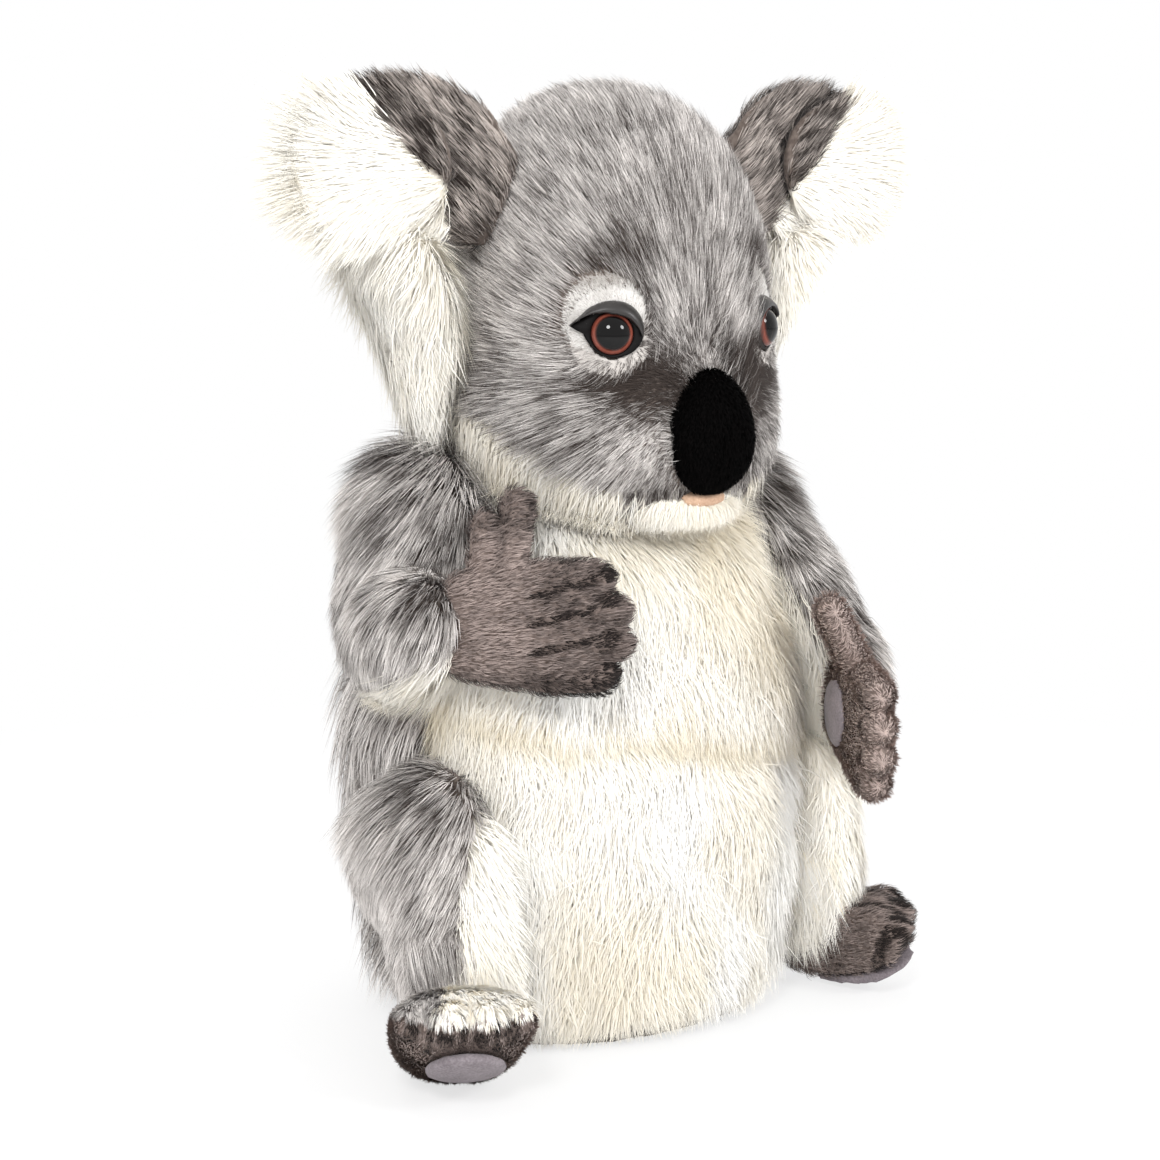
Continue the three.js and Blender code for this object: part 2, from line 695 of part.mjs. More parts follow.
function addHead() {
  const seats = sides.map(eyeSeat);
  const socketed = seats.reduce((left, seat) => left.subtract(eyeHole(seat)), skull);
  addPiece("head", "greyPlush", socketed.subtract(belowHead).subtract(neckSocket));
  addPiece("chin", "whitePlush", chinAt(0).subtract(skullClear).subtract(noseAt(seamGap)).subtract(belowHead));
  addPiece("nose", "blackVelvet", noseAt(0).subtract(skullClear));
  const lipPad = ellipsoid(lip.halfWidth, lip.depth, lip.halfHeight, new THREE.Vector3(0, lip.back, lip.up));
  addPiece("lip", "peachFelt", lipPad.subtract(skullClear).subtract(noseAt(seamGap)).subtract(chinAt(seamGap)));
  sides.forEach((side, i) => {
    addPiece(named(side, "eye"), "blackGloss", eyeSolid(seats[i]));
    addPiece(named(side, "eye_washer"), "whitePlastic", washerSolid(seats[i]));
    addPiece(named(side, "eye_patch"), "whitePlush", patchSolid(seats[i]));
    addPiece(named(side, "eyelid"), "blackVinyl", eyelidSolid(seats[i], side));
    const earClear = earSolid(side, rimGap);
    addPiece(named(side, "ear"), "greyPlush", earSolid(side).subtract(skullClear));
    addPiece(named(side, "ear_lining"), "whitePlush", liningSolid(side).subtract(earClear).subtract(skullClear));
    const tuft = fringeSolid(side).subtract(skullClear).subtract(earClear).subtract(liningSolid(side, rimGap));
    addPiece(named(side, "ear_fringe"), "whitePlush", tuft);
  });
}

// A limb's straight part, running a share of its own depth past the joint at each end.
function limbForm(spec, shares, from, to) {
  const way = new THREE.Vector3().subVectors(to, from).normalize();
  return stuffedForm({
    path: [
      from.clone().addScaledVector(way, -spec.halfDepth * spec.startShare),
      to.clone().addScaledVector(way, spec.halfDepth * spec.endShare),
    ],
    halfWidth: spec.halfWidth,
    front: spec.halfDepth,
    back: spec.halfDepth,
    shares,
    sideways: across,
    startShare: spec.roundShare,
    endShare: spec.roundShare,
    around: facets.limb,
    rings: spec.rings,
  });
}

// Fingers or toes: capsules side by side, each reaching its own share of the length.
function digits(spec, reachShares, alongAt, { ahead, across: sideways }, grow) {
  return reachShares.map((share, i) => {
    const place = i - (reachShares.length - 1) / 2;
    const aside = place * 2 * spec.radius * spec.spreadShare;
    const from = alongAt(spec.startShare).addScaledVector(sideways, aside);
    const to = alongAt(share).addScaledVector(sideways, aside).addScaledVector(ahead, -spec.radius);
    return capsule(spec.radius + grow, from, to);
  });
}

const joined = (solids) => solids.reduce((whole, solid) => whole.add(solid));

// Arm, from the shoulder cone to the wrist ball, and its hand.
function addArm(side) {
  const pose = armPose[side];
  const elbow = vectorAt(side, belowShoulder(pose.elbow));
  const wrist = vectorAt(side, belowShoulder(pose.wrist));
  const outside = outsideCone(shoulderPlace, side, turnGap);
  const upper = limbForm(upperArm, upperArmShares, vectorAt(side, shoulderPlace), elbow);
  const lower = limbForm(forearm, forearmShares, elbow, wrist);
  addPiece(named(side, "upper_arm"), "greyPlush", upper.solid().intersect(outside));
  const level = forward.clone().applyAxisAngle(upward, radians(-side * pose.handTurn));
  const hinge = new THREE.Vector3().crossVectors(level, upward).normalize();
  const ahead = level.clone().applyAxisAngle(hinge, radians(-pose.handDrop));
  const up = new THREE.Vector3().crossVectors(hinge, ahead);
  const palmwards = hinge.clone().multiplyScalar(side);
  const pastWrist = (length) => halfSpace(wrist.clone().addScaledVector(ahead, length), ahead);
  const sleeve = lower.solid().subtract(pastWrist(wristBall.sleeveOver)).add(ball(wristBall.radius, wrist, facets.limb));
  addPiece(named(side, "forearm"), "greyPlush", sleeve.subtract(upper.solid(seamGap)).intersect(outside));

  const alongHand = (share) => wrist.clone().addScaledVector(ahead, share * hand.tipRun);
  const palm = stuffedForm({
    path: [alongHand(0), alongHand(hand.palmEndShare)],
    halfWidth: hand.halfWidth,
    front: hand.halfThickness,
    back: hand.halfThickness,
    shares: handShares,
    sideways: up,
    startShare: hand.startShare,
    endShare: hand.endShare,
    squareness: hand.squareness,
    around: facets.limb,
    rings: hand.rings,
  });
  const axes = { ahead, across: up, out: palmwards };
  const handAt = (grow) => joined([palm.solid(grow), ...digits(finger, fingerReachShares, alongHand, axes, grow)]);
  const kept = pastWrist(wristBall.handOver).subtract(ball(wristBall.radius + turnGap, wrist, facets.limb));
  addPiece(named(side, "hand"), "taupePlush", handAt(0).intersect(kept));

  const lean = (way) => way.clone().applyAxisAngle(hinge, radians(-thumb.lean));
  const raised = up.clone().applyAxisAngle(ahead, radians(side * thumb.inwards));
  const root = alongHand(thumb.alongShare).addScaledVector(up, hand.halfWidth - thumb.radius);
  const twinRoot = root.clone().addScaledVector(ahead, -thumb.twinBack);
  const lobes = [
    capsule(thumb.radius, root, root.clone().addScaledVector(lean(raised), thumb.rise)),
    capsule(thumb.twinRadius, twinRoot, twinRoot.clone().addScaledVector(raised, thumb.twinRise)),
  ];
  const handClear = handAt(seamGap);
  const palmPlace = alongHand(palmPad.alongShare).addScaledVector(palmwards, hand.halfThickness);
  const pad = padSolid(palmPad, palmPlace, axes);
  addPiece(named(side, "thumb"), "taupePlush", joined(lobes).subtract(handClear).intersect(kept));
  addPiece(named(side, "palm_pad"), "lilacSuede", pad.subtract(handClear).intersect(kept));
}

// Leg, from the hip cone to the ankle, and its foot.
function addLeg(side) {
  const pose = legPose[side];
  const knee = vectorAt(side, pose.knee);
  const thighForm = limbForm(thigh, limbShares, vectorAt(side, legStart), knee);
  const shinForm = limbForm(shin, limbShares, knee, vectorAt(side, pose.ankle));
  const legAt = (grow) => thighForm.solid(grow).add(shinForm.solid(grow));
  const kept = outsideCone(hip, side, turnGap).intersect(halfSpace(new THREE.Vector3(0, 0, foot.lift), upward));
  addPiece(named(side, "leg"), "greyPlush", legAt(0).intersect(kept));

  const level = forward.clone().applyAxisAngle(upward, radians(side * pose.footTurn));
  const hinge = new THREE.Vector3().crossVectors(level, upward).normalize();
  const ahead = level.clone().applyAxisAngle(hinge, radians(pose.footPitch));
  hinge.applyAxisAngle(ahead, radians(side * pose.footRoll));
  const down = new THREE.Vector3().crossVectors(ahead, hinge);
  const heel = vectorAt(side, { ...pose.heel, up: foot.lift + foot.halfHeight });
  const alongFoot = (share) => heel.clone().addScaledVector(ahead, share * foot.tipRun - foot.halfHeight);
  const pad = stuffedForm({
    path: [alongFoot(0), alongFoot(foot.padEndShare)],
    halfWidth: foot.halfWidth,
    front: foot.halfHeight,
    back: foot.halfHeight,
    shares: footShares,
    sideways: hinge,
    startShare: foot.roundShare,
    endShare: foot.roundShare,
    squareness: foot.squareness,
    around: facets.limb,
    rings: foot.rings,
  });
  const axes = { ahead, across: hinge, out: hinge.clone().cross(ahead).negate() };
  const footAt = (grow) => joined([pad.solid(grow), ...digits(toe, toeReachShares, alongFoot, axes, grow)]);
  const legClear = legAt(seamGap);
  addPiece(named(side, "foot"), "taupePlush", footAt(0).subtract(legClear).intersect(kept));
  const solePlace = alongFoot(solePad.alongShare).addScaledVector(down, foot.halfHeight);
  const sole = padSolid(solePad, solePlace, axes).subtract(footAt(seamGap)).subtract(legClear).intersect(kept);
  addPiece(named(side, "sole_pad"), "lilacSuede", sole);
}

addTrunk();
addHead();
sides.forEach((side) => {
  addArm(side);
  addLeg(side);
});

export default koala;
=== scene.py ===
import math
import bmesh
import bpy
import numpy as np
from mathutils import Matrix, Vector


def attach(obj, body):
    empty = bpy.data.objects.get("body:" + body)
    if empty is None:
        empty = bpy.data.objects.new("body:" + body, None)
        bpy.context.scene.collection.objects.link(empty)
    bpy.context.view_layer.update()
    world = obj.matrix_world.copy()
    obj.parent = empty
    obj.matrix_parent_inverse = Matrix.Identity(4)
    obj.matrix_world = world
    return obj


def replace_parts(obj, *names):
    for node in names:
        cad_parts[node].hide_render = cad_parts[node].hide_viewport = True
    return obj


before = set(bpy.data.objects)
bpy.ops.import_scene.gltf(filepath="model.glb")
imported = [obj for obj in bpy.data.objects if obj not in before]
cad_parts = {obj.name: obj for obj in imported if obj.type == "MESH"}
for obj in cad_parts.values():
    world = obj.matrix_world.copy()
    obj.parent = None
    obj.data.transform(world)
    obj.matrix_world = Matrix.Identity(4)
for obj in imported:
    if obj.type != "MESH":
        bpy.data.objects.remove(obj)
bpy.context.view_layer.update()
print("stage: frame loaded")

# Shapes are worked out in millimetres and written to meshes in metres.
# The koala faces -Y. Its right side is -X, so "out" is the side's sign times x.
# In every rule below, p holds places and n outward normals, one row each.
mm = 0.001
sides = {"right": -1.0, "left": 1.0}
upward = np.array([0.0, 0.0, 1.0])
forward = np.array([0.0, -1.0, 0.0])


def unit(v):
    # each row divided by its own length
    return v / np.maximum(np.linalg.norm(v, axis=-1, keepdims=True), 1e-9)


def smoothStep(low, high, x):
    # 0 up to low, 1 from high on, 3 t t - 2 t t t between; with low above high it falls instead
    t = np.clip((x - low) / (high - low), 0, 1)
    return t * t * (3 - 2 * t)


def turned(v, axis, degrees):
    # v turned about a unit axis by the right-hand rule
    a = math.radians(degrees)
    return (v * math.cos(a) + np.cross(axis, v) * math.sin(a)
            + axis * np.dot(axis, v) * (1 - math.cos(a)))


def nearTo(p, place, radius):
    # 1 at a place, falling to 0 as a bell of that radius; radius may differ on the three axes
    d = (p - np.array(place, float)) / np.array(radius, float)
    return np.exp(-(d ** 2).sum(-1))


def ways(p, x, y, z):
    # one way for each row of p, from three parts that are numbers or whole columns
    return np.stack([np.broadcast_to(part, len(p)) for part in (x, y, z)], 1)


noiseSize = 32  # cells before the noise repeats
noiseTable = np.random.default_rng(11).random((noiseSize,) * 3)


def noiseAt(p, size, shift=0.0):
    # Value noise from 0 to 1: the eight corners of the cell that holds p, out of a table that repeats,
    # mixed by a smooth step of the place in the cell. size is the cell's width, one number or three.
    q = p / np.array(size, float) + shift
    cell = np.floor(q).astype(int)
    f = q - cell
    f = f * f * (3 - 2 * f)
    total = np.zeros(len(p))
    for corner in range(8):
        step = np.array([corner & 1, corner >> 1 & 1, corner >> 2 & 1])
        share = np.where(step == 1, f, 1 - f).prod(-1)
        total += share * noiseTable[tuple(((cell + step) % noiseSize).T)]
    return total


def clouded(p, value, *grains):
    # a value that wanders from place to place: each grain is the size of its patches and how far it swings
    for size, swing in grains:
        value = value + swing * (noiseAt(p, size) - 0.5)
    return value


# Colour and materials

def linear(red, green, blue):
    # a colour written as on screen, 0 to 255, as the light value that Blender works in
    c = np.array([red, green, blue]) / 255
    c = np.where(c <= 0.04045, c / 12.92, ((c + 0.055) / 1.055) ** 2.4)
    return (*[float(x) for x in c], 1.0)


def shaderGroup(name, inputs, outputs):
    # an empty node group with named sockets, what they give inside it and what it has to fill
    tree = bpy.data.node_groups.new(name, "ShaderNodeTree")
    for label, kind, value in inputs:
        socket = tree.interface.new_socket(label, in_out="INPUT", socket_type=kind)
        if value is not None:
            socket.default_value = value
    for label, kind in outputs:
        tree.interface.new_socket(label, in_out="OUTPUT", socket_type=kind)
    return tree, tree.nodes.new("NodeGroupInput").outputs, tree.nodes.new("NodeGroupOutput").inputs


def feed(tree, socket, value):
    # links a socket to another node's output, or sets it to a plain value
    if isinstance(value, bpy.types.NodeSocket):
        tree.links.new(value, socket)
    else:
        socket.default_value = value


def addNode(tree, kind, inputs={}, **settings):
    # a shader node with its settings, and its inputs fed by name or number; gives its outputs
    node = tree.nodes.new("ShaderNode" + kind)
    for label, value in settings.items():
        setattr(node, label, value)
    for label, value in inputs.items():
        feed(tree, node.inputs[label], value)
    return node.outputs


def mixColour(tree, factor, a, b):
    # a at factor 0, b at factor 1; the colour sockets of a Mix node are 6 and 7
    return addNode(tree, "Mix", {0: factor, 6: a, 7: b}, data_type="RGBA")[2]


def mathNode(tree, operation, *values):
    # one Math node on up to three values or sockets
    return addNode(tree, "Math", dict(enumerate(values)), operation=operation)[0]


colourKind, numberKind, vectorKind = "NodeSocketColor", "NodeSocketFloat", "NodeSocketVector"


def makeStrandTint():
    # Tone picks between the dark and the pale strand, and Along between its root and its tip. The darker root
    # is partly the pile's own colour and partly painted shade deep in the pile.
    colours = [(label, colourKind, None) for label in ("Root Dark", "Root Pale", "Tip Dark", "Tip Pale")]
    tree, given, end = shaderGroup(
        "strandTint",
        [("Tone", numberKind, 0.5), ("Along", numberKind, 0.5)] + colours + [("Root Reach", numberKind, 0.6)],
        [("Color", colourKind)])
    root = mixColour(tree, given["Tone"], given["Root Dark"], given["Root Pale"])
    tip = mixColour(tree, given["Tone"], given["Tip Dark"], given["Tip Pale"])
    rise = mathNode(tree, "DIVIDE", given["Along"], given["Root Reach"])
    feed(tree, end["Color"], mixColour(tree, mathNode(tree, "SMOOTH_MIN", rise, 1.0, 0.2), root, tip))
    return tree


def makeFabricNap():
    # Fine noise for a short nap, mixed with broad, faint cloudiness and spread between the two colours.
    tree, given, end = shaderGroup(
        "fabricNap",
        [("Vector", vectorKind, None), ("Dark", colourKind, None), ("Pale", colourKind, None),
         ("Grain Scale", numberKind, 900.0), ("Cloud Scale", numberKind, 60.0),
         ("Cloud Share", numberKind, 0.4)],
        [("Color", colourKind), ("Height", numberKind)])
    grain, cloud = (
        addNode(tree, "TexNoise", {"Vector": given["Vector"], "Scale": given[label], "Detail": 3})["Fac"]
        for label in ("Grain Scale", "Cloud Scale"))
    wide = mathNode(tree, "MULTIPLY", cloud, given["Cloud Share"])
    rest = mathNode(tree, "SUBTRACT", 1.0, given["Cloud Share"])
    both = mathNode(tree, "ADD", wide, mathNode(tree, "MULTIPLY", grain, rest))
    spread = addNode(tree, "MapRange", {"Value": both, "From Min": 0.3, "From Max": 0.7})
    feed(tree, end["Color"], mixColour(tree, spread["Result"], given["Dark"], given["Pale"]))
    feed(tree, end["Height"], grain)
    return tree


strandTint = makeStrandTint()
fabricNap = makeFabricNap()
finish = {"Roughness": 0.9, "Specular IOR Level": 0.15, "Sheen Weight": 0.08}  # of cloth, where not changed


def newMaterial(name, values):
    # a material with these values on its Principled shader, its node tree and that shader
    material = bpy.data.materials.new(name)
    material.use_nodes = True
    shader = material.node_tree.nodes["Principled BSDF"]
    for label, value in values.items():
        shader.inputs[label].default_value = value
    return material, material.node_tree, shader


def bakedUv(tree):
    # the two parts, X and Y, of a piece's own UV
    return addNode(tree, "SeparateXYZ", {"Vector": addNode(tree, "UVMap", uv_map="OFBake")["UV"]})


def furMaterial(name, tint):
    # a strand's tone is its UV's X, and the share from root to tip is its Y
    material, tree, shader = newMaterial(
        name, {"Roughness": 0.75, "Specular IOR Level": tint.get("gloss", 0.15),
               "Sheen Weight": tint.get("sheen", 0.08), "Sheen Roughness": 0.6})
    parts = bakedUv(tree)
    strand = addNode(tree, "Group", {
        "Tone": parts["X"], "Along": parts["Y"],
        "Root Dark": linear(*tint["rootDark"]), "Root Pale": linear(*tint["rootPale"]),
        "Tip Dark": linear(*tint["tipDark"]), "Tip Pale": linear(*tint["tipPale"]),
        "Root Reach": tint["rootReach"]}, node_tree=strandTint)
    feed(tree, shader.inputs["Base Color"], strand["Color"])
    return material


def placeNap(tree, nap):
    # the nap's noise on Object coordinates, in this nap's colours and scales
    return addNode(tree, "Group", {
        "Vector": addNode(tree, "TexCoord")["Object"],
        "Dark": linear(*nap["dark"]), "Pale": linear(*nap["pale"]),
        "Grain Scale": nap["grain"], "Cloud Scale": nap["cloud"], "Cloud Share": nap.get("cloudShare", 0.4)},
        node_tree=fabricNap)


def napMaterial(name, nap):
    # a nap's colour and, unless its bump is 0, a bump from the same grain
    material, tree, shader = newMaterial(name, {**finish, **nap.get("finish", {})})
    cloth, strength = placeNap(tree, nap), nap.get("bump", 0.5)
    if strength > 0:
        bump = addNode(tree, "Bump", {"Strength": strength, "Distance": nap.get("depth", 0.3) * mm,
                                      "Height": cloth["Height"]})
        feed(tree, shader.inputs["Normal"], bump["Normal"])
    feed(tree, shader.inputs["Base Color"], cloth["Color"])
    return material


def pairedBacking(name, first, second):
    # two naps on one skin, mixed by the skin's own downShare: 0 is the first, 1 the second
    material, tree, shader = newMaterial(name, finish)
    share = addNode(tree, "Attribute", attribute_name="downShare")["Fac"]
    colours = [placeNap(tree, nap)["Color"] for nap in (first, second)]
    feed(tree, shader.inputs["Base Color"], mixColour(tree, share, *colours))
    return material


tints = {
    "grey": {"rootDark": (28, 21, 19), "rootPale": (122, 109, 101), "tipDark": (58, 48, 43),
             "tipPale": (252, 247, 243), "rootReach": 0.8},
    "earGrey": {"rootDark": (22, 16, 14), "rootPale": (98, 84, 77), "tipDark": (42, 33, 29),
                "tipPale": (222, 211, 203), "rootReach": 0.85},
    "white": {"rootDark": (242, 231, 206), "rootPale": (252, 248, 240), "tipDark": (242, 233, 213),
              "tipPale": (252, 251, 248), "rootReach": 0.7, "sheen": 0.0},
    "patch": {"rootDark": (150, 143, 137), "rootPale": (222, 218, 213), "tipDark": (176, 170, 164),
              "tipPale": (246, 244, 241), "rootReach": 0.7},
    "taupe": {"rootDark": (18, 13, 11), "rootPale": (144, 126, 119), "tipDark": (30, 22, 20),
              "tipPale": (216, 197, 189), "rootReach": 0.8},
    "velvet": {"rootDark": (1, 1, 1), "rootPale": (3, 2, 2), "tipDark": (2, 2, 2),
               "tipPale": (10, 8, 8), "rootReach": 0.8, "sheen": 0.0, "gloss": 0.03},
}
furs = {name: furMaterial(name + "Strands", tint) for name, tint in tints.items()}
napLooks = {
    "greyBacking": {"dark": (70, 60, 55), "pale": (122, 111, 104), "grain": 700, "cloud": 70},
    "patchBacking": {"dark": (176, 170, 165), "pale": (206, 201, 196), "grain": 900, "cloud": 90},
    "whiteBacking": {"dark": (240, 232, 214), "pale": (252, 249, 242), "grain": 700, "cloud": 60},
    "taupeBacking": {"dark": (96, 83, 77), "pale": (150, 135, 128), "grain": 900, "cloud": 90},
    "lilacSuede": {"dark": (104, 96, 100), "pale": (148, 140, 144), "grain": 1600, "cloud": 120,
                   "bump": 0.35, "depth": 0.15},
    "blackVelvet": {"dark": (2, 2, 2), "pale": (7, 5, 5), "grain": 1500, "cloud": 200,
                    "finish": {"Sheen Weight": 0.0, "Specular IOR Level": 0.03}},
    "peachFelt": {"dark": (176, 140, 116), "pale": (214, 182, 156), "grain": 1800, "cloud": 150},
    "calico": {"dark": (196, 184, 160), "pale": (226, 216, 196), "grain": 1300, "cloud": 90},
    "blackVinyl": {"dark": (34, 32, 31), "pale": (52, 49, 48), "grain": 1400, "cloud": 200,
                   "cloudShare": 0.6, "bump": 0.0,
                   "finish": {"Roughness": 0.38, "Specular IOR Level": 0.4, "Sheen Weight": 0.0}},
    "rimVinyl": {"dark": (6, 5, 5), "pale": (14, 11, 11), "grain": 1400, "cloud": 200, "bump": 0.1,
                 "finish": {"Roughness": 0.6, "Sheen Weight": 0.0}},
    "whitePlastic": {"dark": (222, 222, 218), "pale": (238, 238, 234), "grain": 800, "cloud": 120, "bump": 0.0,
                     "finish": {"Roughness": 0.4, "Specular IOR Level": 0.5, "Sheen Weight": 0.0}},
}
naps = {name: napMaterial(name, nap) for name, nap in napLooks.items()}
for first in ("grey", "taupe"):
    name = first + "AndWhiteBacking"
    naps[name] = pairedBacking(name, napLooks[first + "Backing"], napLooks["whiteBacking"])
print("stage: materials")


# Skins: the stuffed forms under the fur

def addPiece(name, mesh, body, material):
    # an object for a finished mesh, in one material, riding on its body
    mesh.materials.clear()
    mesh.materials.append(material)
    piece = bpy.data.objects.new(name, mesh)
    bpy.context.scene.collection.objects.link(piece)
    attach(piece, body)
    return piece


def setPlaces(mesh, points):
    # corners given in millimetres, one row each
    mesh.vertices.foreach_set("co", (points.reshape(-1, 3) * mm).astype(np.float32).ravel())


def setSmooth(mesh):
    # every face shaded smooth
    mesh.polygons.foreach_set("use_smooth", np.ones(len(mesh.polygons), bool))


def setUv(mesh, uv, loops):
    # uv has one row for each corner, and loops says which corner stands at each turn of the faces
    layer = mesh.uv_layers.new(name="OFBake")
    layer.data.foreach_set("uv", uv.reshape(-1, 2)[loops].astype(np.float32).ravel())


def arraysOf(mesh):
    # corners in millimetres, outward normals and triangles of a mesh
    mesh.calc_loop_triangles()
    points, normals = np.zeros((2, len(mesh.vertices) * 3), np.float32)
    triangles = np.zeros(len(mesh.loop_triangles) * 3, np.int32)
    mesh.vertices.foreach_get("co", points)
    mesh.vertex_normals.foreach_get("vector", normals)
    mesh.loop_triangles.foreach_get("vertices", triangles)
    return (points.reshape(-1, 3).astype(float) / mm, normals.reshape(-1, 3).astype(float),
            triangles.reshape(-1, 3))


skins = {}
skinDefaults = {"voxel": 2.4, "smoothing": 8, "swell": 0.0, "wave": 0.0, "waveSize": 14.0, "fill": 0.6}


def softSkin(name, nodes, body, slotName, nap, **changes):
    # The CAD forms closed into one surface by a voxel remesh, evened out, then moved along their
    # normals by swell plus wave times a noise, both in millimetres.
    look = {**skinDefaults, **changes}
    together = bmesh.new()
    for node in nodes:
        together.from_mesh(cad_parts[node].data)
    bmesh.ops.remove_doubles(together, verts=together.verts, dist=0.002 * mm)
    source = bpy.data.meshes.new(name + "Source")
    together.to_mesh(source)
    together.free()
    source.materials.clear()
    form = bpy.data.objects.new(name + "Form", source)
    bpy.context.scene.collection.objects.link(form)
    remesh = form.modifiers.new("remesh", "REMESH")
    remesh.mode, remesh.voxel_size = "VOXEL", look["voxel"] * mm
    smooth = form.modifiers.new("smooth", "SMOOTH")
    smooth.factor, smooth.iterations = 0.5, look["smoothing"]
    bpy.context.view_layer.update()
    shaped = bpy.data.meshes.new_from_object(form.evaluated_get(bpy.context.evaluated_depsgraph_get()))
    bpy.data.objects.remove(form)
    bpy.data.meshes.remove(source)
    points, normals, triangles = arraysOf(shaped)
    rise = look["swell"] + look["wave"] * (noiseAt(points, look["waveSize"]) - 0.5)
    setPlaces(shaped, points + normals * rise[:, None])
    setSmooth(shaped)
    shaped.name = name
    shaped.update()
    skin = addPiece(name, shaped, body, naps[nap])
    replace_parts(skin, *nodes)
    points, normals, triangles = arraysOf(shaped)
    skins[name] = {"points": points, "normals": normals, "triangles": triangles, "body": body}


def markDown(name, share):
    # writes how white the backing is at each corner of a skin, from 0 to 1
    layer = bpy.data.objects[name].data.attributes.new("downShare", "FLOAT", "POINT")
    layer.data.foreach_set("value", share(skins[name]["points"], skins[name]["normals"]).astype(np.float32))


def insideAny(q, clouds):
    # A point is inside a skin where it lies behind the nearest corner of that skin.
    inside = np.zeros(len(q), bool)
    for points, normals in clouds:
        low, high = points.min(0) - 1, points.max(0) + 1
        near = np.flatnonzero(((q > low) & (q < high)).all(-1))
        for start in range(0, len(near), 4000):
            some = near[start:start + 4000]
            apart = (points ** 2).sum(-1)[None] - 2 * q[some].astype(np.float32) @ points.T
            nearest = apart.argmin(1)
            behind = ((q[some] - points[nearest]) * normals[nearest]).sum(-1) < 0
            inside[some] |= behind
    return inside


def roomAbove(name, others, steps=(1.5, 4.0, 7.0, 10.0)):
    # How far a corner of a skin can rise along its normal before it is inside one of the others.
    skin = skins[name]
    clouds = [(skins[o]["points"][::4].astype(np.float32), skins[o]["normals"][::4]) for o in others]
    room = np.full(len(skin["points"]), float(steps[-1]))
    for step in reversed(steps):
        hit = insideAny(skin["points"] + skin["normals"] * step, clouds)
        room[hit] = np.minimum(room[hit], step)
    return room


# Strands: thin tapering ribbons that stand for the pile

shares = np.array([0, 0.5, 1])  # from root to tip, where a strand is worked out


def strandLines(places, spec, rng):
    # A strand follows root + length * (lift * (s - s s / 2) * normal + (0.35 s + 0.5 s s) * flow + s s * pull),
    # and every strand of a small cell of roots leans towards that cell's mean, more so at its tip.
    roots, normals, count = places["roots"], places["normals"], len(places["roots"])
    lift = (places["lift"] * (0.75 + 0.5 * rng.random(count)))[:, None]
    stray = rng.normal(0, spec["stray"], (count, 3))
    stray -= 0.7 * (stray * normals).sum(-1, keepdims=True) * normals
    flow = unit(places["flow"] + stray)
    line = []
    for s in shares:
        rise = lift * (s - s * s / 2) * normals + (0.35 * s + 0.5 * s * s) * flow
        lean = rise + s * s * np.array(spec["pull"])
        line.append(roots - spec["sunk"] * normals + places["length"][:, None] * lean)
    line = np.stack(line, 1)
    warp = np.stack([noiseAt(roots, 5.0, k) for k in (3.1, 7.7, 5.3)], 1) * spec["clumpSize"]
    cell = np.floor((roots + warp) / spec["clumpSize"]).astype(np.int64)
    key = cell @ np.array([1, 4096, 4096 ** 2])
    _, owner, crowd = np.unique(key, return_inverse=True, return_counts=True)
    owner = owner.ravel()
    for k, s in enumerate(shares):
        mean = np.stack([np.bincount(owner, line[:, k, j]) for j in range(3)], 1) / crowd[:, None]
        line[:, k] += spec["clump"] * s ** 1.5 * (mean[owner] - line[:, k])
    line[:, :, 2] = np.maximum(line[:, :, 2], spec["floor"])
    clumpTone = rng.normal(0, spec["clumpTone"], len(crowd))[owner]
    tone = places["tone"] + clumpTone + rng.normal(0, spec["strandTone"], count)
    return line, np.clip(tone, 0.01, 0.99)


def strandPiece(name, places, body, material, spec, rng):
    # Each strand's line gets a width across it, turned a little about it: corners in pairs at its root
    # and middle, and one at its tip.
    line, tone = strandLines(places, spec, rng)
    normals, count = places["normals"], len(line)
    heading = unit(line[:, -1] - line[:, 0])
    across = unit(np.cross(heading, normals))
    twist = rng.uniform(-1, 1, count)[:, None] * spec["twist"]
    across = across * np.cos(twist) + np.cross(heading, across) * np.sin(twist)
    facing = unit(np.cross(across, heading))
    if spec["frontward"]:
        # the ribbons of thin, flat forms all face the front or back, and are shaded as if they did so more
        turn = np.where(facing[:, 1:2] > 0, -1.0, 1.0)
        across, facing = across * turn, unit(facing * turn + spec["frontward"] * forward)
    else:
        facing = unit(normals * spec["soften"] + facing * (1 - spec["soften"]))
    half = 0.5 * spec["width"] * (0.75 + 0.5 * rng.random(count))[:, None]
    corners = np.zeros((count, 5, 3))
    for k in range(2):
        reachOut = across * half * (1 - 0.45 * shares[k])
        corners[:, 2 * k], corners[:, 2 * k + 1] = line[:, k] - reachOut, line[:, k] + reachOut
    corners[:, 4] = line[:, 2]
    each = np.arange(count)[:, None]
    loops = (each * 5 + np.array([0, 1, 3, 2, 2, 3, 4])).ravel()  # a four-sided face, then a triangle
    starts = (each * 7 + np.array([0, 4])).ravel()
    mesh = bpy.data.meshes.new(name)
    mesh.vertices.add(count * 5)
    setPlaces(mesh, corners)
    mesh.loops.add(len(loops))
    mesh.loops.foreach_set("vertex_index", loops.astype(np.int32))
    mesh.polygons.add(len(starts))
    mesh.polygons.foreach_set("loop_start", starts.astype(np.int32))
    setSmooth(mesh)
    u = np.repeat(tone[:, None], 5, 1)
    u[:, 0::2] -= 0.004
    u[:, 1::2] += 0.004
    v = np.repeat(shares, 2)[:5]
    setUv(mesh, np.stack([u, np.broadcast_to(v * 0.98 + 0.01, u.shape)], -1), loops)
    mesh.update(calc_edges=True)
    mesh.validate()
    mesh.normals_split_custom_set_from_vertices(np.repeat(facing, 5, 0).astype(np.float32))
    addPiece(name, mesh, body, material)
    print("stage:", name, count, "strands", count * 3, "triangles")


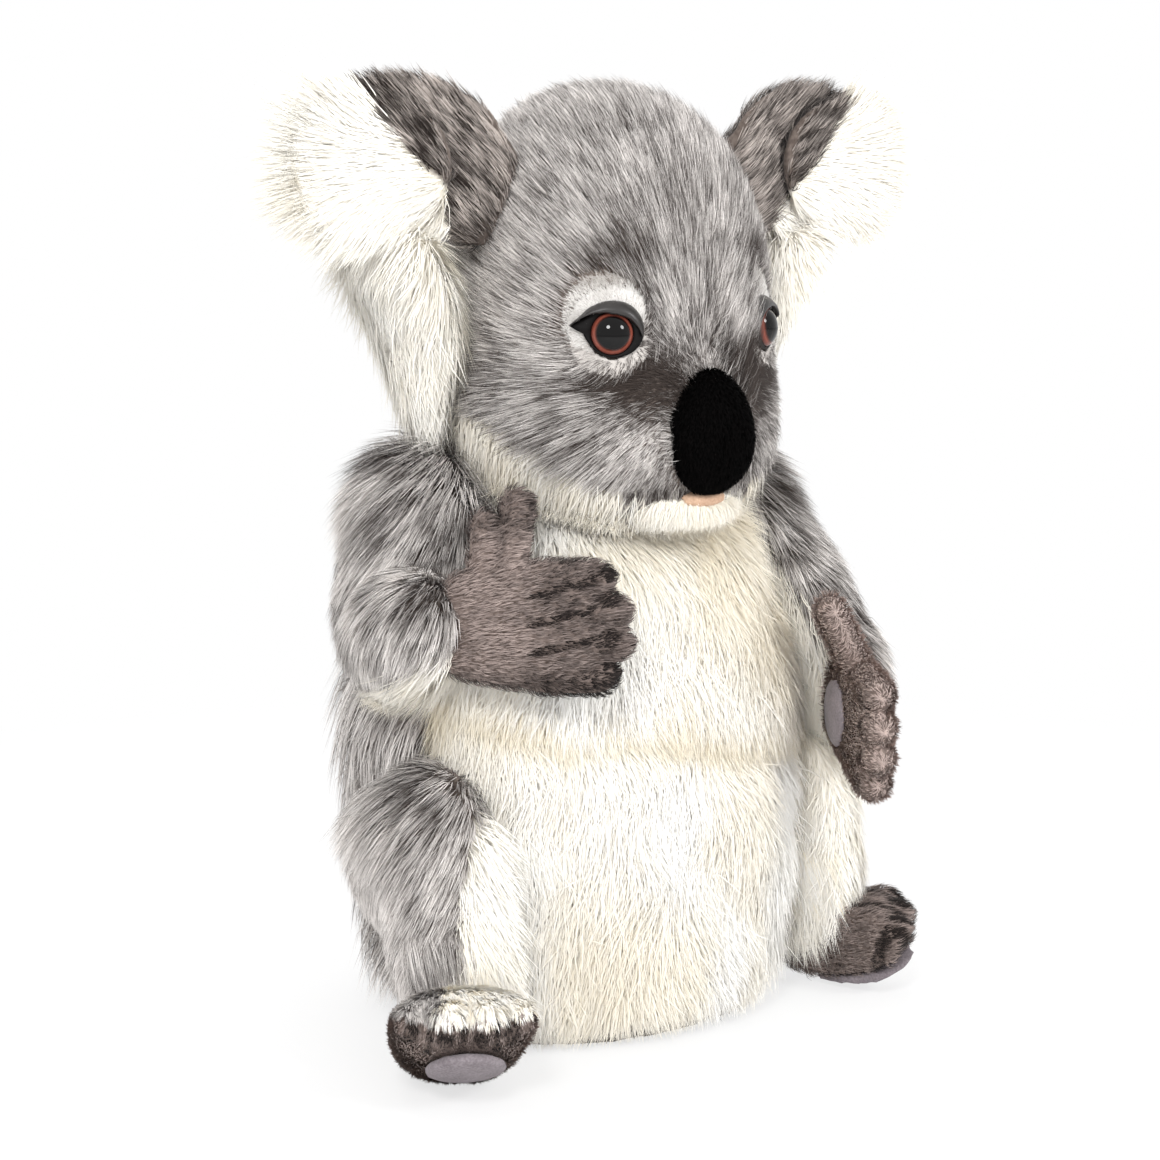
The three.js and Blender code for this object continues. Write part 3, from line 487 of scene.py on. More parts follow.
def scatter(skinNames, count, densityAt, clear, rng):
    # Roots spread over the skins' triangles, as many on each as its area times densityAt(p, n), and none
    # where another skin is as near as clear.
    p, n, r = [np.concatenate([skins[s][key][skins[s]["triangles"]] for s in skinNames])
               for key in ("points", "normals", "room")]
    area = np.linalg.norm(np.cross(p[:, 1] - p[:, 0], p[:, 2] - p[:, 0]), axis=-1)
    weight = area * ((r.mean(1) > clear) * worked(densityAt, p.mean(1), unit(n.mean(1))))
    sums = np.cumsum(weight)
    chosen = np.searchsorted(sums, rng.random(count) * sums[-1])
    a, b = rng.random(count), rng.random(count)
    flip = a + b > 1
    a, b = np.where(flip, 1 - a, a), np.where(flip, 1 - b, b)
    mix = np.stack([1 - a - b, a, b], 1)
    return ((p[chosen] * mix[:, :, None]).sum(1), unit((n[chosen] * mix[:, :, None]).sum(1)),
            (r[chosen] * mix).sum(1))


# What a strand's look may say. Lengths are in millimetres.
strandDefaults = {"clear": 0.0, "lift": 0.55, "stray": 0.16, "sunk": 0.6, "pull": (0, 0, 0),
                  "clump": 0.45, "clumpSize": 1.9, "clumpTone": 0.15, "strandTone": 0.26, "twist": 0.7,
                  "width": 0.26, "soften": 0.65, "cramped": 0.35, "frontward": 0.0, "floor": 0.4}
fluffy = {"width": 0.42, "soften": 1.0, "strandTone": 0.09, "clumpTone": 0.03, "clump": 0.1, "clumpSize": 6.0,
          "stray": 0.26, "twist": 0.15}
shortPile = {"lift": 0.95, "width": 0.29, "sunk": 0.2, "clump": 0.25, "clumpSize": 1.3, "clumpTone": 0.07,
             "strandTone": 0.08, "soften": 0.7, "floor": 0.2}
# Each coat's slot, tint and common look.
coats = {
    "grey": ("grey_plush", "grey", {}),
    "earGrey": ("grey_plush", "earGrey", {}),
    "white": ("white_plush", "white", fluffy),
    "whiteOver": ("white_plush", "white", {key: fluffy[key] for key in ("width", "soften", "twist")}),
    "patch": ("white_plush", "patch", {}),
    "taupe": ("taupe_plush", "taupe", shortPile),
    "velvet": ("black_velvet", "velvet", {}),
}


def worked(rule, p, n):
    # A rule is a function of places and normals, the three parts of one way, or one number.
    if callable(rule):
        return rule(p, n)
    return ways(p, *rule) if isinstance(rule, tuple) else np.full(len(p), float(rule))


def cloudy(value, *grains):
    # the rule of a value that wanders, with nothing else in it
    return lambda p, n: clouded(p, value, *grains)


def fur(name, skinNames, coat, look, density, flow, length, tone):
    # Strands of one coat on skins of one body. The rules for density, flow, length, tone and lift are
    # worked out for all strands at once. Where another skin is near, a strand is shorter.
    slotName, tint, common = coats[coat]
    spec = {**strandDefaults, **common, **look}
    count, rng = spec["count"], np.random.default_rng(spec["seed"])
    roots, normals, room = scatter(skinNames, count, density, spec["clear"], rng)
    way = worked(flow, roots, normals)
    way = unit(way - (way * normals).sum(-1, keepdims=True) * normals)
    long = worked(length, roots, normals) * (0.7 + 0.6 * rng.random(count))
    places = {"roots": roots, "normals": normals, "flow": way,
              "length": long * np.clip(room / 8, spec["cramped"], 1),
              "lift": worked(spec["lift"], roots, normals), "tone": worked(tone, roots, normals)}
    strandPiece(name, places, skins[skinNames[0]]["body"], furs[tint], spec, rng)


# Trunk, neck, head and limbs as skins

softSkin("torsoSkin", ["torso"], "trunk", "grey_plush", "greyBacking", voxel=3.0, swell=0.5)
softSkin("bellySkin", ["belly_panel"], "trunk", "white_plush", "whiteBacking", voxel=2.3, smoothing=3,
         swell=0.4, wave=1.6)
softSkin("basePad", ["base_panel"], "trunk", "grey_plush", "greyBacking", voxel=1.8, smoothing=2)
softSkin("pelletSack", ["pellet_bag"], "trunk", "calico", "calico", smoothing=4, fill=0.4)
softSkin("neckBall", ["neck_plug"], "neck", "white_plush", "greyAndWhiteBacking", smoothing=4)
softSkin("headSkin", ["head"], "head_body", "grey_plush", "greyAndWhiteBacking", voxel=2.0, smoothing=10,
         swell=0.3, fill=0.85)
softSkin("chinSkin", ["chin"], "head_body", "white_plush", "whiteBacking", voxel=1.0, smoothing=5, swell=0.2)
softSkin("noseSkin", ["nose"], "head_body", "black_velvet", "blackVelvet", voxel=1.0, swell=0.6, fill=0.9)
softSkin("lipSkin", ["lip"], "head_body", "peach_felt", "peachFelt", voxel=0.6, smoothing=4, swell=0.2)
earPart = {"voxel": 1.3, "smoothing": 5, "swell": 0.2}
limb = {"voxel": 1.8, "smoothing": 10, "swell": 0.4}
paw = {"voxel": 1.0, "smoothing": 5, "swell": 0.2}
pad = {"voxel": 0.9, "smoothing": 4}
patch = {"voxel": 0.8, "smoothing": 3, "fill": 0.5}
# On each side: the skin, its CAD nodes, body, slot and nap, and its look.
sideSkins = [
    ("EyePatch", "eye_patch", "head_body", "white_plush", "patchBacking", patch),
    ("EarSkin", "ear", "head_body", "grey_plush", "greyAndWhiteBacking",
     {"voxel": 1.4, "smoothing": 6, "swell": 0.2}),
    ("LiningSkin", "ear_lining", "head_body", "white_plush", "greyAndWhiteBacking", earPart),
    ("TuftSkin", "ear_fringe", "head_body", "white_plush", "whiteBacking", {**earPart, "fill": 0.4}),
    ("ArmSkin", "upper_arm forearm", "arm_body", "grey_plush", "greyAndWhiteBacking", limb),
    ("HandSkin", "hand thumb", "hand_body", "taupe_plush", "taupeBacking", paw),
    ("PalmPad", "palm_pad", "hand_body", "lilac_suede", "lilacSuede", pad),
    ("LegSkin", "leg", "leg_body", "grey_plush", "greyAndWhiteBacking", limb),
    ("FootSkin", "foot", "leg_body", "taupe_plush", "taupeAndWhiteBacking", paw),
    ("SolePad", "sole_pad", "leg_body", "lilac_suede", "lilacSuede", pad),
]
for word in sides:
    for name, nodes, body, slotName, nap, look in sideSkins:
        body = body if body == "head_body" else word + "_" + body
        softSkin(word + name, [word + "_" + node for node in nodes.split()], body, slotName, nap, **look)
markDown("neckBall", lambda p, n: smoothStep(4, -4, p[:, 1]))

# The room over each skin is up to the large forms and these; hands and feet keep clear of these alone.
large = ["torsoSkin", "headSkin"] + [word + name for word in sides for name in ("ArmSkin", "LegSkin")]
close = {"torsoSkin": ["bellySkin"], "headSkin": ["noseSkin", "chinSkin", "rightEyePatch", "leftEyePatch"]}
alone = {}
for word in sides:
    close.update({word + "EarSkin": [word + "LiningSkin"], word + "ArmSkin": [word + "HandSkin"],
                  word + "LegSkin": [word + "FootSkin"]})
    alone.update({word + "HandSkin": [word + "ArmSkin", word + "PalmPad"],
                  word + "FootSkin": [word + "LegSkin", word + "SolePad"]})
for name in skins:
    others = [o for o in large if o != name and (name, o) != ("bellySkin", "torsoSkin")]
    skins[name]["room"] = roomAbove(name, alone.get(name, others + close.get(name, [])))
# Under the arms, legs and head the torso keeps a short pile, which shows when they move away.
torso = skins["torsoSkin"]
clearOfBelly = roomAbove("torsoSkin", ["bellySkin"]) > 2
torso["room"] = np.where(clearOfBelly, np.maximum(torso["room"], 2.5), torso["room"])
print("stage: skins", sum(len(s["triangles"]) for s in skins.values()), "triangles")


# Head fur

def axisOf(node):
    # Centre line of a turned CAD solid: the way in which its corners spread differs from the two equal ones.
    points = np.unique(arraysOf(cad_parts[node].data)[0].round(3), axis=0)
    middle = points.mean(0)
    _, spread, lines = np.linalg.svd(points - middle, full_matrices=False)
    axis = lines[0 if abs(spread[1] - spread[2]) < abs(spread[0] - spread[1]) else 2]
    if axis[1] > 0:
        axis = -axis
    return middle + axis * ((points - middle) @ axis).max(), unit(axis)


# Each eye's apex and the way it looks, and the ways across its face: outer is away from the nose, brow is up.
eyes = {}
for word, side in sides.items():
    apex, axis = axisOf(word + "_eye")
    brow = unit(upward - axis * axis[2])
    eyes[word] = {"apex": apex, "axis": axis, "brow": brow, "outer": side * unit(np.cross(brow, axis))}

noseTop = np.array([0.0, -54.0, 180.0])
faceEnd = 2  # back of this the nape's pile takes over from the face's
crownUp = 204  # over this the crown's pile takes over from the cheeks'
# How far the white reaches round an eye, by the angle from its outer corner over the brow.
whiteReach = [(0, 11.2), (30, 13.2), (60, 15.2), (90, 15.4), (120, 13.8), (145, 11.0), (168, 7.6), (190, 5.8),
              (215, 5.2), (238, 5.4), (258, 6.0), (285, 6.4), (312, 6.6), (330, 7.4), (345, 9.4), (360, 11.2)]
# Dark and pale places on the face, mirrored: out, back, up, their radii, and what they add to the tone.
faceMarks = [
    ((16, -49, 183.5), (11, 14, 7.5), -1.25),
    ((27, -45, 184), (8, 12, 4), -0.45),
    ((22, -46, 193), (3.5, 12, 4), -0.5),
    ((15, -46, 203), (4, 12, 10), -0.4),
    ((21, -42, 214), (10, 12, 4.5), -0.55),
    ((13, -47, 153), (10, 9, 3.5), -0.7),
    ((22, -47, 167), (9, 12, 8), 0.2),
    ((4, -50, 192), (7, 12, 7), -0.1),
    ((6, -48, 204), (7, 12, 6), 0.1),
    ((38, -22, 164), (14, 26, 12), -0.22),
]
# Painted shade: the left side of the muzzle, turned away from the lamps, is darker than the right one.
leftMuzzleShade = ((17, -48, 170), (7, 12, 14), -0.6)
# Under this line, up against back, the head's pile is white like the chest's.
jawLine = [(-48, 154), (-43, 156), (-38, 161.5), (-31, 166.5), (-24, 170.5), (-16, 174.5), (-4, 178), (4, 176)]


def aroundEye(p, word):
    # distance from the eye's centre line, and angle from its outer corner over the brow
    eye = eyes[word]
    d = p - eye["apex"]
    across, up = d @ eye["outer"], d @ eye["brow"]
    return np.hypot(across, up), np.degrees(np.arctan2(up, across)) % 360


def nearEye(p, word, low, high):
    # a smooth step of the distance from the eye's centre line, on its own side of the head only
    return smoothStep(low, high, aroundEye(p, word)[0]) * (np.sign(p[:, 0]) == sides[word])


def whiteShare(p, word):
    # 1 inside an edge that whiteReach gives by the angle and a fine noise frays, 0 outside it
    distance, angle = aroundEye(p, word)
    edge = clouded(p, np.interp(angle, *np.array(whiteReach, float).T), (2.0, 1.6))
    return smoothStep(edge + 0.8, edge - 0.8, distance) * (np.sign(p[:, 0]) == sides[word])


def headFlow(p, n):
    # Away from the top of the nose over the face, then down the back of the head, and away from the eyes.
    away = unit(p - noseTop)
    away[:, 2] -= 0.25 * smoothStep(205, 170, p[:, 2])
    down = np.array([0.0, 0.35, -1.0])
    back = smoothStep(0, 34, p[:, 1])[:, None]
    way = away * (1 - back) + down * back
    for word in sides:
        way = way + (1.6 * nearEye(p, word, 15, 8))[:, None] * unit(p - eyes[word]["apex"])
    return way


def headLength(p, n):
    # short round the nose, longer on the cheeks, longest where the nape hangs over the neck
    near = np.linalg.norm(p - np.array([0, -52, 172]), axis=-1)
    cheek = smoothStep(190, 168, p[:, 2]) * smoothStep(18, 34, np.abs(p[:, 0]))
    nape = smoothStep(175, 155, p[:, 2]) * smoothStep(5, 25, p[:, 1])
    long = (3.4 + 5.4 * smoothStep(14, 42, near) + 4 * cheek + 8 * nape
            + 1.5 * nearTo(p, (0, -50, 198), (14, 20, 14)))
    for word in sides:
        long *= 1 - 0.55 * nearEye(p, word, 14, 8)
    return long


def headLift(p, n):
    # the pile stands up on the crown, on the bridge between the eyes and on the cheeks
    bridge = nearTo(np.abs(p) * [1, -1, 1], (10, -50, 198), (8, 20, 13))
    cheek = smoothStep(186, 162, p[:, 2]) * smoothStep(18, 34, np.abs(p[:, 0]))
    return 0.45 + 0.65 * smoothStep(222, 252, p[:, 2]) + 0.6 * bridge + 0.3 * cheek


def throatShare(p):
    # 1 under the frayed jawLine and in front of the ears, 0 above and behind
    edge = clouded(p, np.interp(p[:, 1], *np.array(jawLine, float).T), (4.0, 2.5))
    return smoothStep(edge + 1, edge - 1, p[:, 2]) * smoothStep(6, 0, p[:, 1])


def headTone(p, n):
    # fine and broad mottling, the face's marks, and painted shade on the left side of the muzzle
    tone = clouded(p, 0.5, ((3.0, 3.0, 5.0), 0.4), (10.0, 0.3))
    mirrored = np.stack([np.abs(p[:, 0]), p[:, 1], p[:, 2]], 1)
    for place, radius, gain in faceMarks:
        tone += gain * nearTo(mirrored, place, radius)
    place, radius, gain = leftMuzzleShade
    return tone + gain * nearTo(p, place, radius)


def faceDensity(p):
    # thickest round the nose and the eyes, none where the white of an eye's patch is
    white = np.maximum(whiteShare(p, "right"), whiteShare(p, "left"))
    distance = np.minimum(aroundEye(p, "right")[0], aroundEye(p, "left")[0])
    front = 1 + 1.3 * smoothStep(46, 18, np.linalg.norm(p - np.array([0, -52, 176]), axis=-1))
    return (p[:, 1] < faceEnd) * (distance > 6.6) * (1 - throatShare(p)) * (1 - white) * front


def patchToneAndShade(p, n):
    # the white round the eye of the loop's side, with painted shade greying it towards the brow
    up = (p - eyes[word]["apex"]) @ eyes[word]["brow"]
    return clouded(p, 0.75, (3.0, 0.4)) - 0.55 * smoothStep(9.5, 14, up)


markDown("headSkin", lambda p, n: throatShare(p))
facePile = {"lift": headLift, "stray": 0.17, "width": 0.165, "clumpSize": 1.6, "clump": 0.4, "strandTone": 0.32,
            "cramped": 0.8}
faceBands = {"cheekFur": {"over": 0, "under": crownUp, "count": 62000, "seed": 21},
             "crownFur": {"over": crownUp, "under": 400, "count": 52000, "seed": 29}}
for name, band in faceBands.items():
    fur(name, ["headSkin", "rightEyePatch", "leftEyePatch"], "grey", {**facePile, **band},
        lambda p, n: faceDensity(p) * (p[:, 2] >= band["over"]) * (p[:, 2] < band["under"]),
        headFlow, headLength, headTone)

throatFur = {"count": 12000, "seed": 26, "lift": 0.4}
fur("throatFur", ["headSkin"], "white", throatFur,
    lambda p, n: throatShare(p) * (p[:, 2] > 138),
    lambda p, n: ways(p, 0.01 * p[:, 0], 0.1, -1.0), 13, cloudy(0.5, (9, 0.4)))

napeFur = {"count": 20000, "seed": 22, "clear": 2.0, "lift": headLift, "stray": 0.13, "width": 0.34}
fur("napeFur", ["headSkin"], "grey", napeFur,
    lambda p, n: (p[:, 1] >= faceEnd) * smoothStep(130, 150, p[:, 2]) * (1 - throatShare(p)),
    headFlow, headLength, headTone)

muzzleFringe = {"count": 2200, "seed": 25, "lift": 0.7, "width": 0.2, "stray": 0.25, "clump": 0.2}
fur("muzzleFringe", ["headSkin"], "grey", muzzleFringe,
    lambda p, n: (np.abs(p[:, 0]) < 22) * (p[:, 1] < -38) * (p[:, 2] > 150) * (p[:, 2] < 156),
    lambda p, n: unit(p - noseTop) + np.array([0, -0.3, -1.2]), 6.5, cloudy(0.3, (2.5, 0.5)))

# The pile between the eyes stands up and is longer on the left side, where it hides part of the eye.
bridgeFur = {"count": 6500, "seed": 28, "lift": lambda p, n: 0.8 + 0.35 * (p[:, 0] > 0), "stray": 0.2,
             "width": 0.165, "clump": 0.3, "cramped": 1.0}
fur("bridgeFur", ["headSkin"], "grey", bridgeFur,
    lambda p, n: (p[:, 1] < -36) * (
        nearTo(p, (11, -47, 197), (4.5, 20, 11)) + 0.4 * nearTo(p, (-12, -47, 195), (4, 20, 7))),
    lambda p, n: ways(p, 0.3 * (p[:, 0] > 0), -0.1, 1.0), lambda p, n: 5.5 + 2.7 * (p[:, 0] > 0),
    lambda p, n: headTone(p, n) + 0.15)

noseEdgeFur = {"count": 2600, "seed": 27, "lift": 1.1, "stray": 0.3, "width": 0.18, "clump": 0.15,
               "cramped": 0.8}
fur("noseEdgeFur", ["headSkin"], "grey", noseEdgeFur,
    lambda p, n: smoothStep(13, 9, np.hypot(p[:, 0] * 1.05 / 1.6, (p[:, 2] - 171) / 1.75))
    * (p[:, 1] < -36) * smoothStep(158, 164, p[:, 2]),
    lambda p, n: unit(np.array([0, -58, 171.0]) - p) * [1, 0.4, 1], 4.2, headTone)

chinFur = {"count": 6000, "seed": 23, "width": 0.24, "clumpSize": 3.0, "lift": 0.35, "soften": 0.8}
fur("chinFur", ["chinSkin"], "white", chinFur, lambda p, n: n[:, 2] < 0.6,
    lambda p, n: unit(p - np.array([0, -44, 156.0])) + np.array([0, 0, -1.4]), 7.5, cloudy(0.5, (7, 0.4)))

patchPile = {"count": 9000, "seed": 24, "width": 0.19, "sunk": 0.3, "lift": 0.5, "soften": 0.9,
             "clump": 0.0, "clumpTone": 0.0, "strandTone": 0.14, "stray": 0.3}
for word in sides:
    fur(word + "PatchPile", [word + "EyePatch", "headSkin"], "patch", patchPile,
        lambda p, n: (n[:, 1] < 0.2) * whiteShare(p, word) * (aroundEye(p, word)[0] > 6.4),
        headFlow, 1.8, patchToneAndShade)


# Ears

def outOf(p, side):
    # how far out a place is from the middle of the toy
    return side * p[:, 0]


earBand = {"right": 85.5, "left": 88}  # how far out the grey reaches at the top of each ear


def earEdge(p, word):
    # The grey band is inside a line that runs from the ear's top down to its inner lower edge.
    return np.maximum(earBand[word] - 0.92 * (262 - p[:, 2]), 55 * (p[:, 2] > 206))


def earGreyShare(p, word):
    # 1 on the inner side of the frayed earEdge, 0 outside it
    edge = earEdge(p, word)
    return smoothStep(edge + 1.5, edge - 1.5, clouded(p, outOf(p, sides[word]), (4.0, 2.5)))


def earTopShare(p, n, side):
    # the thin rim over the ear and on its side towards the head
    top = smoothStep(0.1, 0.6, n[:, 2] - 0.6 * side * n[:, 0]) * smoothStep(84, 72, outOf(p, side))
    return top * smoothStep(0.6, 0.2, n[:, 1])


def earTone(p, n):
    # dark mottling, paler towards the head, and paler at the foot of the ear as painted light that lifts the
    # shade there
    return (clouded(p, 0.12, (3.0, 0.6)) + 0.35 * smoothStep(2, 20, earEdge(p, word) - outOf(p, side))
            + 0.3 * smoothStep(222, 210, p[:, 2]) * smoothStep(60, 50, outOf(p, side)))


def whiteEarWay(p, n):
    # outwards, up along the ear's upper edge and down along its lower one
    rise = 0.75 * smoothStep(238, 258, p[:, 2]) - 0.7 * smoothStep(240, 222, p[:, 2]) - 0.1
    return ways(p, 0.8 * side, -0.1, rise)


earFur = {"count": 18000, "seed": 31, "lift": lambda p, n: 0.55 - 0.4 * earTopShare(p, n, side),
          "clumpSize": 2.2, "clumpTone": 0.2, "clump": 0.5, "width": 0.28}
earDown = {"count": 17000, "seed": 32, "lift": 0.42, "clumpSize": 5.0, "stray": 0.18, "frontward": 0.9}
tuftDown = {**earDown, "count": 11000, "seed": 33, "clear": 2.0, "lift": 0.5, "stray": 0.2}
earBack = 0.45  # normals that point further back than this wear no white
for word, side in sides.items():
    ear = [word + "EarSkin", word + "LiningSkin"]
    for name in ear:
        markDown(name, lambda p, n: (1 - earGreyShare(p, word)) * (n[:, 1] < earBack))
    fur(word + "EarFur", ear, "earGrey", earFur,
        lambda p, n: np.maximum(earGreyShare(p, word), 0.9 * (n[:, 1] > 0.3)),
        (0.75 * side, 0.05, 0.7), lambda p, n: 9 - 5.5 * earTopShare(p, n, side), earTone)
    fur(word + "EarDown", ear, "white", earDown,
        lambda p, n: (1 - earGreyShare(p, word)) * (n[:, 1] < earBack), whiteEarWay,
        lambda p, n: 12 + 5 * smoothStep(70, 90, outOf(p, side)) * (1 + smoothStep(246, 258, p[:, 2])),
        cloudy(0.7, (8, 0.3)))
    fur(word + "TuftDown", [word + "TuftSkin"], "white", tuftDown, 1,
        lambda p, n: ways(p, side * (0.7 * smoothStep(196, 222, p[:, 2]) - 0.05), 0.05, -1.0),
        lambda p, n: 15 + 3 * smoothStep(190, 170, p[:, 2]), cloudy(0.7, (8, 0.3)))


# Trunk

def trunkFlow(p, n):
    # down, a little backwards, and outwards at the sides
    return ways(p, 0.25 * np.sign(p[:, 0]) * np.abs(n[:, 0]), 0.1, -1.0)


def backLength(p, n):
    # longest on the flanks, short near the floor
    flank = 5 * smoothStep(40, 50, np.abs(p[:, 0])) * smoothStep(40, 60, p[:, 2])
    return (18 + flank) * (0.4 + 0.6 * smoothStep(4, 22, p[:, 2]))


backFur = {"count": 28000, "seed": 41, "clear": 2.0, "width": 0.41, "lift": 0.7, "clumpSize": 2.8}
# Painted light: the pile on the flanks is paler, as if lit by the bright surroundings at the sides.
fur("backFur", ["torsoSkin"], "grey", backFur, 1, trunkFlow, backLength,
    lambda p, n: clouded(p, 0.6, (6.0, 0.5), (16.0, 0.35)) + 0.25 * smoothStep(40, 55, np.abs(p[:, 0])))

# A soft crease parts the chest from the belly. It sinks towards the left side.
crease = {"up": 97.0, "fall": 0.2, "halfWidth": 6.5}
chestUp = 84  # over this the strands belong to the chest's piece, under it to the belly's


def aboveCrease(p):
    # height over the crease's line, which waves slowly
    return p[:, 2] - clouded(p, crease["up"] - crease["fall"] * np.maximum(p[:, 0], 0), (30.0, 16))


def bellyFlow(p, n):
    # down, with slow waves to the side
    return ways(p, 1.4 * (noiseAt(p, 15.0) - 0.5) + 0.004 * p[:, 0], -0.1, -1.0)


def bellyLength(p, n):
    # short just below the crease and long just above it, short again near the floor
    d = aboveCrease(p)
    long = 16 - 5 * np.exp(-((d + 3) / crease["halfWidth"]) ** 2) + 2.5 * np.exp(-((d - 8) / 8) ** 2)
    return long * (0.5 + 0.5 * smoothStep(3, 20, p[:, 2]))


def bellyLift(p, n):
    # standing up most just above the crease
    return 0.45 + 0.2 * np.exp(-((aboveCrease(p) - 8) / 8) ** 2)


def bellyShadeTone(p, n):
    # painted shade: creamier in the crease and in broad soft folds that run down the chest and belly
    foldShade = noiseAt(p, (14.0, 14.0, 40.0), 2.3)
    d = aboveCrease(p)
    creaseShade = np.exp(-((d + 1) / crease["halfWidth"]) ** 2)
    return 0.72 + 1.0 * (foldShade - 0.5) - 0.8 * creaseShade - 0.15 * smoothStep(0, 30, d)


def bellyOut(p, n):
    # whether a place is on the panel's outer face: its normal points away from an upright line in the middle
    return p[:, 0] * n[:, 0] - (p[:, 1] - 4) * -n[:, 1] > 0


bellyPile = {"count": 31000, "clear": 2.0, "lift": bellyLift, "clumpSize": 7.0, "width": 0.4}
bellyBands = {"chestFur": {"over": chestUp, "under": 300, "seed": 43},
              "bellyFur": {"over": -10, "under": chestUp, "seed": 44}}
for name, band in bellyBands.items():
    fur(name, ["bellySkin"], "white", {**bellyPile, **band},
        lambda p, n: (p[:, 2] >= band["over"]) * (p[:, 2] < band["under"]) * bellyOut(p, n),
        bellyFlow, bellyLength, bellyShadeTone)


# Arms

def armWhiteShare(p, n, side):
    # 1 below and on the inside of the arm, 0 above and outside
    inner = -side * n[:, 0]
    return smoothStep(0.35, 0.6, -n[:, 2] * 0.9 + 0.35 * inner - 0.2 * n[:, 1])


def outerShare(n, side):
    # how far a surface faces outwards and back; the arm's and leg's tones add painted light there, as from the
    # bright surroundings
    return smoothStep(0.45, 0.95, 0.85 * side * n[:, 0] + 0.5 * n[:, 1])


armFur = {"count": 26000, "seed": 51, "lift": lambda p, n: 0.75 + 0.2 * smoothStep(140, 154, p[:, 2]),
          "clumpSize": 2.6, "clump": 0.5, "clumpTone": 0.16}
armDown = {"count": 9000, "seed": 52, "lift": 0.6, "long": {"right": 14, "left": 16}}
for word, side in sides.items():
    along = (0.45 * side, 0.05, -0.9)
    markDown(word + "ArmSkin", lambda p, n: armWhiteShare(p, n, side))
    # Painted light: the pile on the outer side of the arm is paler, as if lit by the bright surroundings.
    fur(word + "ArmFur", [word + "ArmSkin"], "grey", armFur,
        lambda p, n: 1 - armWhiteShare(p, n, side), along,
        lambda p, n: 11 + 5 * smoothStep(136, 152, p[:, 2]),
        lambda p, n: clouded(p, 0.46, (7.0, 0.9), (15.0, 0.4)) + 0.4 * outerShare(n, side))
    fur(word + "ArmDown", [word + "ArmSkin"], "white", armDown,
        lambda p, n: armWhiteShare(p, n, side), along, armDown["long"][word],
        cloudy(0.6, (9, 0.3)))


# Legs

def legWhiteShare(p, side):
    # 1 on the front and inside of a leg, 0 behind a frayed edge that lies further out on the left leg
    inner = -0.8 * outOf(p, side) - 0.6 * p[:, 1]
    edge = -29.6 - (72 - p[:, 2]) * 0.22 - 22 * (side > 0)
    return smoothStep(edge - 1.5, edge + 1.5, clouded(p, inner, (5.0, 4)))


def legLength(p, n):
    # longer outside the right knee, shorter outside the shin
    outside = outerShare(n, side)
    knee, shin = 8 * (side < 0) * smoothStep(54, 70, p[:, 2]), 3 * smoothStep(56, 40, p[:, 2])
    return leg["long"] + outside * (knee - shin)


def legTone(p, n):
    # paler outside, as painted light from the bright surroundings, and darker on top of the knee
    return (clouded(p, 0.62, (7.0, 0.5)) + 0.3 * outerShare(n, side)
            - 0.15 * smoothStep(56, 74, p[:, 2]) * smoothStep(4, -16, p[:, 1]))


def legLift(p, n):
    # standing up outside the knee
    return 0.65 + 0.3 * outerShare(n, side) * smoothStep(50, 66, p[:, 2])


# Counts, lengths and lifts that differ between the two legs, as their white and the photo's light do.
legs = {
    "right": {"furs": 23000, "long": 10.5, "downs": 13000, "downLong": 15, "downLift": 0.65, "downOut": 0.3,
              "ankles": 4000, "ankleLong": 15},
    "left": {"furs": 13000, "long": 8, "downs": 20000, "downLong": 11, "downLift": 0.4, "downOut": 0.0,
             "ankles": 2500, "ankleLong": 10},
}
legFur = {"seed": 61, "lift": legLift, "clumpSize": 2.4, "clump": 0.5}
for word, side in sides.items():
    leg = legs[word]
    markDown(word + "LegSkin", lambda p, n: legWhiteShare(p, side))
    fur(word + "LegFur", [word + "LegSkin"], "grey", {**legFur, "count": leg["furs"]},
        lambda p, n: (1 - legWhiteShare(p, side)) * (p[:, 2] > 3),
        (0.35 * side, 0.25, -0.9), legLength, legTone)
    fur(word + "LegDown", [word + "LegSkin"], "white",
        {"seed": 62, "count": leg["downs"], "lift": leg["downLift"]},
        lambda p, n: legWhiteShare(p, side) * (p[:, 2] > 3),
        (leg["downOut"], -0.1, -1.0), lambda p, n: leg["downLong"] + 4 * smoothStep(44, 26, p[:, 2]),
        cloudy(0.7, (9, 0.3)))

instepUp = 27.0  # over this the right foot's raised toes wear the leg's pile
ankle = {"from": 28, "to": 44, "lift": 0.55, "cramped": 1.0, "pull": (0, -0.12, 0)}
instep = {"count": 5000, "long": 4.5, "lift": 0.8, "cramped": 1.0}
